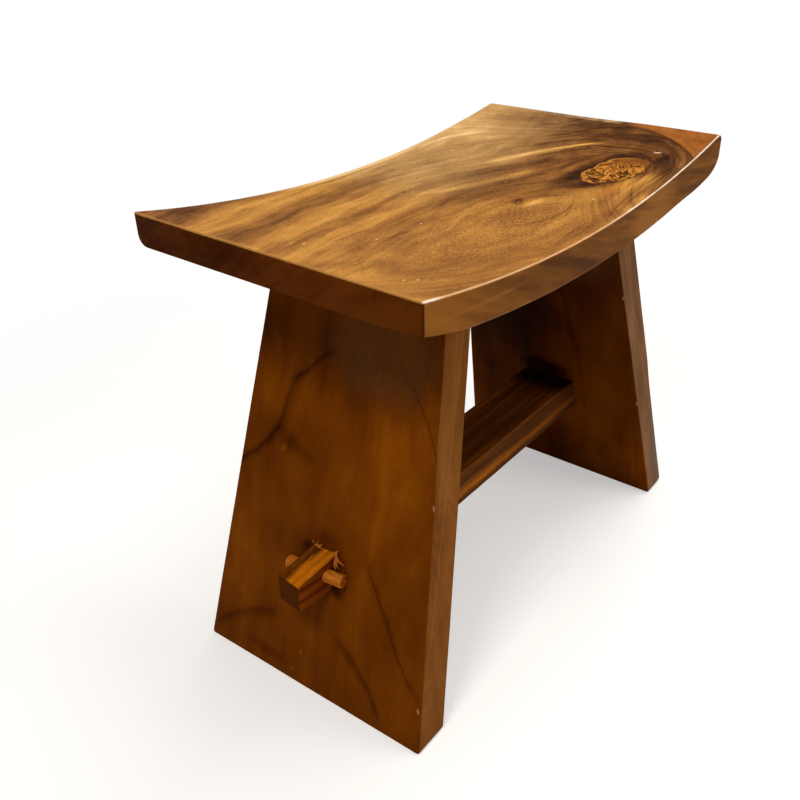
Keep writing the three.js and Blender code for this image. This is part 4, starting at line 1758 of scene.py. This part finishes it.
# Soft shades: where across, where along, half width, half length, turn, core, amount.
LEG_PATCHES = {
    "left": [
        ((-50.0, 240.0), 84.0, 104.0, 0.0, 0.0, -0.24),
        ((-92.0, 205.0), 34.0, 74.0, 0.0, 0.0, -0.12),
        ((-66.0, 352.0), 34.0, 34.0, 0.0, 0.0, -0.10),
        ((88.0, 348.0), 40.0, 44.0, 0.0, 0.0, 0.12),
        ((88.0, 285.0), 26.0, 44.0, 0.0, 0.0, -0.16),
        ((104.0, 345.0), 30.0, 50.0, 0.0, 0.0, 0.22),
        ((54.0, 243.0), 18.0, 16.0, 20.0, 0.0, 0.26),
        ((34.0, 236.0), 22.0, 10.0, 30.0, 0.0, 0.12),
        ((16.0, 140.0), 62.0, 44.0, 0.0, 0.1, 0.20),
        ((60.0, 17.0), 44.0, 10.0, 4.0, 0.0, 0.22),
        ((0.0, 30.0), 130.0, 50.0, 0.0, 0.2, -0.05),
        ((62.0, 234.0), 5.0, 8.0, 40.0, 0.1, -0.28),
        ((15.0, 35.0), 3.0, 5.0, 20.0, 0.2, -0.30),
        ((25.0, 12.0), 4.0, 1.6, 20.0, 0.2, -0.34),
        ((30.0, 110.0), 150.0, 150.0, 0.0, 0.3, -0.08),
        # The next two are painted shadow: under the peg, and beside the tenon at the mortise's mouth.
        ((-19.0, 117.0), 14.0, 9.0, 30.0, 0.0, 0.40),
        ((20.0, 150.0), 12.0, 9.0, -30.0, 0.0, 0.30),
        ((0.0, 166.0), 26.0, 9.0, 0.0, 0.0, 0.14),
        ((60.0, 282.0), 60.0, 50.0, 0.0, 0.2, -0.08),
        ((-85.0, 326.0), 30.0, 40.0, 0.0, 0.2, -0.10),
    ],
    "right": [
        # The next three are painted shade on the inner face, deepest under the seat and behind the
        # stretcher.
        ((0.0, 340.0), 200.0, 190.0, 0.0, 0.2, 0.34),
        ((70.0, 230.0), 90.0, 240.0, 0.0, 0.3, 0.34),
        ((14.0, 240.0), 80.0, 140.0, 0.0, 0.1, 0.20),
        ((0.0, 40.0), 56.0, 64.0, 0.0, 0.1, 0.34),
        # Painted shadow just above the stretcher.
        ((6.0, 164.0), 46.0, 16.0, 0.0, 0.2, 0.40),
    ],
}
# Small pale chips on the front edge: where across and where along.
LEG_CHIPS = {
    "left": [(-126.0, 43.0), (-110.0, 238.0)],
    "right": [(-118.5, 150.0), (-103.0, 300.0)],
}
# Dark lines: along the leg or across it, where across and along, slope, bend, half length, half
# width, amount.
LEG_STROKES = {
    "left": [
        ("along", (36.0, 322.0), -1.10, 0.0, 26.0, 9.0, 0.15),
        ("along", (36.0, 322.0), -1.10, 0.0, 22.0, 3.4, 0.10),
        ("along", (60.0, 282.0), -0.33, 0.0, 44.0, 11.0, 0.16),
        ("along", (61.0, 282.0), -0.33, 0.0, 36.0, 4.0, 0.13),
        ("along", (92.0, 224.0), -1.00, 6.0, 44.0, 11.0, 0.18),
        ("along", (93.0, 224.0), -1.00, 6.0, 36.0, 4.0, 0.14),
        ("along", (-88.0, 312.0), 0.72, 3.5, 56.0, 2.6, 0.20),
        ("along", (-80.0, 108.0), 0.66, -2.0, 72.0, 9.0, 0.10),
        ("along", (-80.0, 108.0), 0.66, -2.0, 66.0, 2.6, 0.16),
        ("across", (92.0, 43.0), -0.62, -4.5, 52.0, 11.0, 0.14),
        ("across", (92.0, 46.0), -0.62, -4.5, 48.0, 4.4, 0.08),
        ("across", (-54.0, 48.0), 0.92, -9.0, 40.0, 11.0, 0.20),
        ("across", (-56.0, 49.0), 0.92, -9.0, 34.0, 3.6, 0.10),
    ],
    "right": [
        ("along", (-40.0, 200.0), 0.12, 0.6, 150.0, 6.0, 0.10),
        ("along", (30.0, 180.0), -0.10, -0.5, 120.0, 6.0, 0.10),
    ],
}


def add_leg_marks(name, dark, y, up, ripple):
    """Adds the leg's shades and lines to its darkness; the lines waver with the ripple."""
    for (across, along), width, length, turn, core, amount in LEG_PATCHES[name]:
        dark = dark + patch(y, up, (across, along), width, length, turn, core) * amount
    bent = y + ripple
    for way, (across, along), slope, bend, reach, width, amount in LEG_STROKES[name]:
        if way == "along":
            line = stroke(up, bent, (along, across), slope, bend, reach, width)
        else:
            line = stroke(bent, up, (across, along), slope, bend, reach, width)
        dark = dark + line * amount
    return dark


for name in SIDES:
    print(name, "leg: shades", len(LEG_PATCHES[name]), "and lines", len(LEG_STROKES[name]))

# %% [markdown]
# ## Leg wood
# The finish works on coordinates that lie in the board: along the leg, across it, and in from its
# outer face. They could come from a UV map, but the cuts through the board would break that up.
# Worked out from the lean, they run on into the mortise, the foot and the front edge, which is
# masked by its place too. The right leg adds the grey of its waney corner, and a painted shade under
# the seat.

# %% Leg wood
LEG_SPECULAR = 0.015
WANE_TONE = tone(106, 86, 70)
CURLY_PATCH = ((-38.0, 354.0), 76.0, 58.0, 0.0, 0.4)
# The pale line along a leg's front edge, and a painted shade on the far upper part of the right leg,
# under the seat.
LEG_SIDE_LINE = ((250.0, 16.0), 0.07, 0.0, 190.0, 2.0)
RIGHT_PAINTED_SHADE = ((95.0, 290.0), 90.0, 150.0, 0.0, 0.3)


def color_leg_edge(name, color, y, z, up, side_darkness):
    """Lays the colour of the narrow front side over the face's, with its chips."""
    from_front = y - z * LEG_NARROWING + LEG_FOOT_WIDTH * MM_PER_M / 2
    color = mix(from_front.rise(1.6, 0.5), color, side_darkness.ramp(LEG_SIDE_TONES[name]))
    beside = from_front.rise(0.2, 1.0)
    for centre in LEG_CHIPS[name]:
        chip = patch(y, up, centre, 1.6, 3.6, -14.0, 0.3) * beside
        color = mix(chip * 0.7, color, tone(206, 160, 110))
    return color, from_front


def add_wane(color, y, up, inward, from_front):
    """The grey facet of the wane, and a painted shade on the leg's far upper part, under the seat."""
    share = up.rise(WANE_HEIGHT * MM_PER_M, 40.0)
    from_wane = inward + share * -WANE_WIDTH * MM_PER_M
    facet = from_wane.rise(1.0, -1.0) * from_front.rise(3.0, 1.6)
    color = mix(facet * share.rise(0.0, 0.2) * 0.8, color, WANE_TONE)
    painted_shade = patch(y, up, *RIGHT_PAINTED_SHADE) * from_front.rise(10.0, 30.0)
    return mix(painted_shade * 0.6, color, tone(44, 32, 22))


def leg_material(name):
    side = SIDES[name]
    seed = LEG_SEEDS[name]
    material = new_material(f"{name}_leg_wood")
    tree = material.node_tree
    x, y, z = place_in_mm(tree)
    up = z / math.cos(LEAN)
    inward = (x * -side + LEG_FOOT_X * MM_PER_M) * math.cos(LEAN) - z * math.sin(LEAN)
    wander = cloud(tree, vector(tree, y / 80.0, up / 190.0 + seed, inward / 60.0), 2.0).swing(34.0)
    ripple = cloud(tree, vector(tree, y / 22.0, up / 50.0 + seed, inward / 20.0), 2.0).swing(6.0)
    level = y + inward * 0.7 + wander + ripple
    places = {"Along": up, "Across": level, "Width": 2.4, "Length": 110.0}
    grain = use_group(tree, grain_group, places)
    blots = cloud(tree, vector(tree, y / 60.0, up / 90.0, inward / 50.0 + seed), 3.0, 0.55).swing(0.36)
    veins = cloud(tree, vector(tree, level / 30.0, up / 500.0, seed), 2.0).swing(0.22)
    dark = add_leg_marks(name, blots + veins + 0.42, y, up, ripple)
    curl = cloud(tree, vector(tree, y / 2.6 + up / 9.0, up / 26.0, inward / 6.0), 2.0, 0.6, 0.8)
    curly = patch(y, up, *CURLY_PATCH)
    dark = dark + curl.swing(0.55) * (curly * 0.8 + 0.10)
    dark = dark + grain["Streaks"] * 0.08 + grain["Pores"] * 0.08
    color = dark.ramp(LEG_TONES)
    # Painted sheen: the curly patch turns greyer, and its ripples are lit paler.
    curl_sheen = curl.rise(0.53, 0.62) * curly
    color = mix(curly * 0.5, color, tone(104, 68, 40))
    color = mix(curl_sheen * 0.15, color, tone(152, 108, 68))
    side_line = stroke(up, inward, *LEG_SIDE_LINE)
    side_darkness = blots + grain["Streaks"] * 0.3 - side_line * 0.2 + 0.5
    color, from_front = color_leg_edge(name, color, y, z, up, side_darkness)
    if name == "right":
        color = add_wane(color, y, up, inward, from_front)
    normal = bump(tree, grain["Height"] + curl * curly, distance=0.0003, strength=0.3)
    roughness = grain["Streaks"] * 0.08 + curl.swing(0.05) + 0.42
    return finish_material(material, color, roughness, normal, LEG_SPECULAR)


for name, leg in legs.items():
    leg_wood = leg_material(name)
    dress(leg, leg_wood)
    print("nodes in the", name, "leg's wood:", len(leg_wood.node_tree.nodes))

# %% [markdown]
# ## The stretcher's stripes
# The stretcher was sawn across the growth layers, so its sides are striped, orange and dark brown,
# along its whole length. A Wave texture would space them evenly. These four ramps of darkness put
# each stripe where it is: at a height on the sides, and at a place across the top.

# %% Stretcher stripes
BAR_TONES = [
    (0.00, tone(222, 128, 14)),
    (0.30, tone(147, 80, 12)),
    (0.60, tone(92, 46, 8)),
    (1.00, tone(33, 14, 3)),
]
# How dark the bar and its tenons are at each height of their sides, and at each place across
# their tops. Both run from 0 to 1.
BAR_SIDE = [
    (0.00, 0.60), (0.10, 0.76), (0.20, 0.50), (0.32, 0.24), (0.44, 0.36), (0.54, 0.62),
    (0.66, 0.74), (0.84, 0.62), (1.00, 0.74),
]
BAR_TOP = [
    (0.00, 0.46), (0.10, 0.54), (0.24, 0.66), (0.34, 0.56), (0.48, 0.70), (0.62, 0.58),
    (0.74, 0.66), (0.90, 0.46), (1.00, 0.60),
]
TENON_SIDE = [
    (0.00, 0.66), (0.10, 0.36), (0.26, 0.34), (0.34, 0.78), (0.42, 0.38), (0.56, 0.36),
    (0.63, 0.80), (0.71, 0.40), (0.86, 0.44), (0.93, 0.76), (1.00, 0.54),
]
TENON_TOP = [
    (0.00, 0.16), (0.14, 0.00), (0.28, 0.16), (0.42, 0.00), (0.52, 0.10), (0.62, 0.30),
    (0.70, 0.60), (0.84, 0.48), (1.00, 0.58),
]


print("stops in the stripes:", [len(stops) for stops in (BAR_SIDE, BAR_TOP, TENON_SIDE, TENON_TOP)])

# %% [markdown]
# ## Stretcher wood
# The stripes waver a little along the bar, and on the pared tenon they drift with it. The end grain
# is dark, because oil soaks into it, and a few splinters on the tenon's top have stayed bright.
# Sides, top and end could be three materials, but masks by place keep their borders soft, as on the
# real bar.

# %% Stretcher wood
BAR_SPECULAR = 0.01
# Where the tenons' stripes take over from the bar's, inside the legs.
TENON_STRIPES = (200.0, 215.0)
# The bar's own sizes in millimetres, as its finish needs them.
WIDE, NARROW = BAR_WIDTH * MM_PER_M, TENON_WIDTH * MM_PER_M
LOW, HIGH = BAR_LOW * MM_PER_M, BAR_HIGH * MM_PER_M
FACE, TIP = leg_outer_x(BAR_HIGH) * MM_PER_M, TENON_TIP_X * MM_PER_M


def bar_masks(x, y, z):
    """Masks for the parts of the bar, and the place across a tenon that drifts with its tip."""
    out = x.size()
    pared = (out - FACE).high(0.0) / (TIP - FACE)
    own_y = y + x.math("SIGN") * pared * (TIP_DRIFT * MM_PER_M)
    tenon = out.rise(*TENON_STRIPES)
    top = (z + pared * (TIP_DROP * MM_PER_M)).rise(HIGH - 2.2, HIGH - 0.6)
    slant = out + (own_y / NARROW + 0.5) * (TIP_SKEW * MM_PER_M)
    masks = {
        "tenon": tenon,
        "top": top,
        "tip_top": top * out.rise(226.0, 232.0),
        "arris": top * (y + WIDE / 2).rise(2.2, 1.0),
        "bar_side": top.rise(1.0, 0.0) * tenon.rise(1.0, 0.0),
        "tenon_side": tenon * top.rise(1.0, 0.0),
        "end_grain": slant.rise(TIP - 1.0, TIP - 0.4),
    }
    return masks, own_y


def bar_darkness(x, y, z, own_y, masks):
    """The stripes of the sides and the top, with the shadow that lies by the right leg."""
    tree = x.tree
    wander = cloud(tree, vector(tree, x / 120.0, y / 40.0, z / 40.0), 2.0).swing(5.0)
    rise = (z + wander - LOW) / (HIGH - LOW)
    side = lean_to(rise.ramp(BAR_SIDE), rise.ramp(TENON_SIDE), masks["tenon"])
    bar_top = ((y + wander) / WIDE + 0.5).ramp(BAR_TOP)
    fray = cloud(tree, vector(tree, x / 9.0, y / 3.0, z / 3.0), 3.0, 0.65).swing(4.5)
    tenon_top = ((own_y + wander * 0.4 + fray) / NARROW + 0.5).ramp(TENON_TOP)
    dark = lean_to(side, lean_to(bar_top, tenon_top, masks["tenon"]), masks["top"])
    dark = dark + masks["top"] * x.rise(140.0, 178.0) * 0.5
    return dark + masks["bar_side"] * (x.rise(-30.0, 150.0) * 0.20 - 0.10)


def bar_material():
    material = new_material("bar_wood")
    tree = material.node_tree
    x, y, z = place_in_mm(tree)
    masks, own_y = bar_masks(x, y, z)
    places = {"Along": x, "Across": z, "Depth": y, "Width": 1.2, "Length": 90.0}
    grain = use_group(tree, grain_group, places)
    dark = bar_darkness(x, y, z, own_y, masks) + grain["Streaks"] * 0.26 + grain["Pores"] * 0.12
    color = mix(masks["arris"] * 0.22, dark.ramp(BAR_TONES), tone(136, 92, 62))
    color = mix(masks["bar_side"] * 0.25, color, tone(92, 62, 38))
    color = mix(masks["tenon_side"] * 0.4, color, tone(128, 50, 18))
    fleck = cloud(tree, vector(tree, x / 2.6, y / 1.3, z / 1.3), 2.0).rise(0.64, 0.72)
    color = mix(fleck * masks["tip_top"] * 0.5, color, tone(226, 150, 60))
    speckle = cloud(tree, vector(tree, x, y / 1.6, z / 1.1), 2.0)
    cut_color = speckle.ramp([(0.3, tone(98, 50, 5)), (0.7, tone(70, 33, 2))])
    color = mix(masks["end_grain"], color, cut_color)
    height = grain["Height"] + speckle * masks["end_grain"]
    normal = bump(tree, height, distance=0.0003, strength=0.5)
    roughness = grain["Streaks"] * 0.08 + masks["end_grain"] * 0.2 + 0.42
    return finish_material(material, color, roughness, normal, BAR_SPECULAR)


bar_wood = bar_material()
dress(stretcher, bar_wood)
print("nodes in the bar's wood:", len(bar_wood.node_tree.nodes))

# %% [markdown]
# ## Peg, fibre and dowel wood
# The pegs are orange wood without oil, and their cut ends show growth rings. The dowels that join
# the legs to the seat are hidden; they are plain pale dowels. One material could serve them all,
# but their colours differ. So one function makes the wood of a rod from its tones, and the rings
# are added for the pegs only.

# %% Peg, fibre and dowel wood
ROD_SPECULAR = 0.06
# How dark a peg's end is at each part of its radius, and from where on it counts as the end.
RING_STOPS = [(0.0, 0.50), (0.3, 0.56), (0.5, 0.72), (0.62, 0.42), (0.78, 0.80), (0.9, 0.30)]
CUT_END = (30.4, 31.0)
PEG_TONES = [(0.0, tone(238, 152, 58)), (0.5, tone(186, 100, 25)), (1.0, tone(92, 40, 6))]
FIBRE_TONES = [(0.0, tone(232, 156, 78)), (0.5, tone(196, 116, 46)), (1.0, tone(130, 70, 22))]
DOWEL_TONES = [(0.0, tone(226, 196, 146)), (0.5, tone(206, 170, 116)), (1.0, tone(166, 126, 80))]


def rod_material(material, values, rings, tones):
    """Bare wood of a rod; rings adds the darkness of its end grain."""
    tree = material.node_tree
    grain = use_group(tree, grain_group, values | {"Width": 0.8, "Length": 30.0})
    color = (grain["Streaks"] * 0.6 + grain["Pores"] * 0.25 + rings + 0.42).ramp(tones)
    normal = bump(tree, grain["Height"], distance=0.0004, strength=0.6)
    roughness = grain["Streaks"] * 0.1 + 0.58
    return finish_material(material, color, roughness, normal, ROD_SPECULAR)


def peg_material():
    material = new_material("peg_wood")
    x, y, z = place_in_mm(material.node_tree)
    end = PEG_FRONT_END * MM_PER_M
    drift = (PEG_FRONT_END - PEG_BACK_END) / (PEG_FRONT_END.y - PEG_BACK_END.y)
    run = y - end.y
    right = x.size() + end.x + run * drift.x
    up = z - end.z - run * drift.z
    radius = (right.squared() + up.squared()).root() / (PEG_DIAMETER * MM_PER_M / 2)
    at_end = y.size().rise(*CUT_END)
    rings = radius.ramp(RING_STOPS).swing(0.5) * at_end
    values = {"Along": y, "Across": x, "Depth": z}
    return rod_material(material, values, rings, PEG_TONES)


def dowel_material():
    material = new_material("dowel_wood")
    x, y, z = place_in_mm(material.node_tree)
    return rod_material(material, {"Along": z, "Across": x, "Depth": y}, 0.0, DOWEL_TONES)


def fibre_material():
    material = new_material("torn_fibre_wood")
    x, y, z = place_in_mm(material.node_tree)
    return rod_material(material, {"Along": z, "Across": y, "Depth": x}, 0.0, FIBRE_TONES)


dress(fibres, fibre_material())
peg_wood = peg_material()
dowel_wood = dowel_material()
for peg in pegs.values():
    dress(peg, peg_wood)
for name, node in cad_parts.items():
    if "dowel" in name:
        dress(node, dowel_wood)
print("finishes:", ", ".join(sorted(material.name for material in bpy.data.materials)))

# %% [markdown]
# ## Size
# The dressed stool has to be as large as the frame. Both boxes are kept.
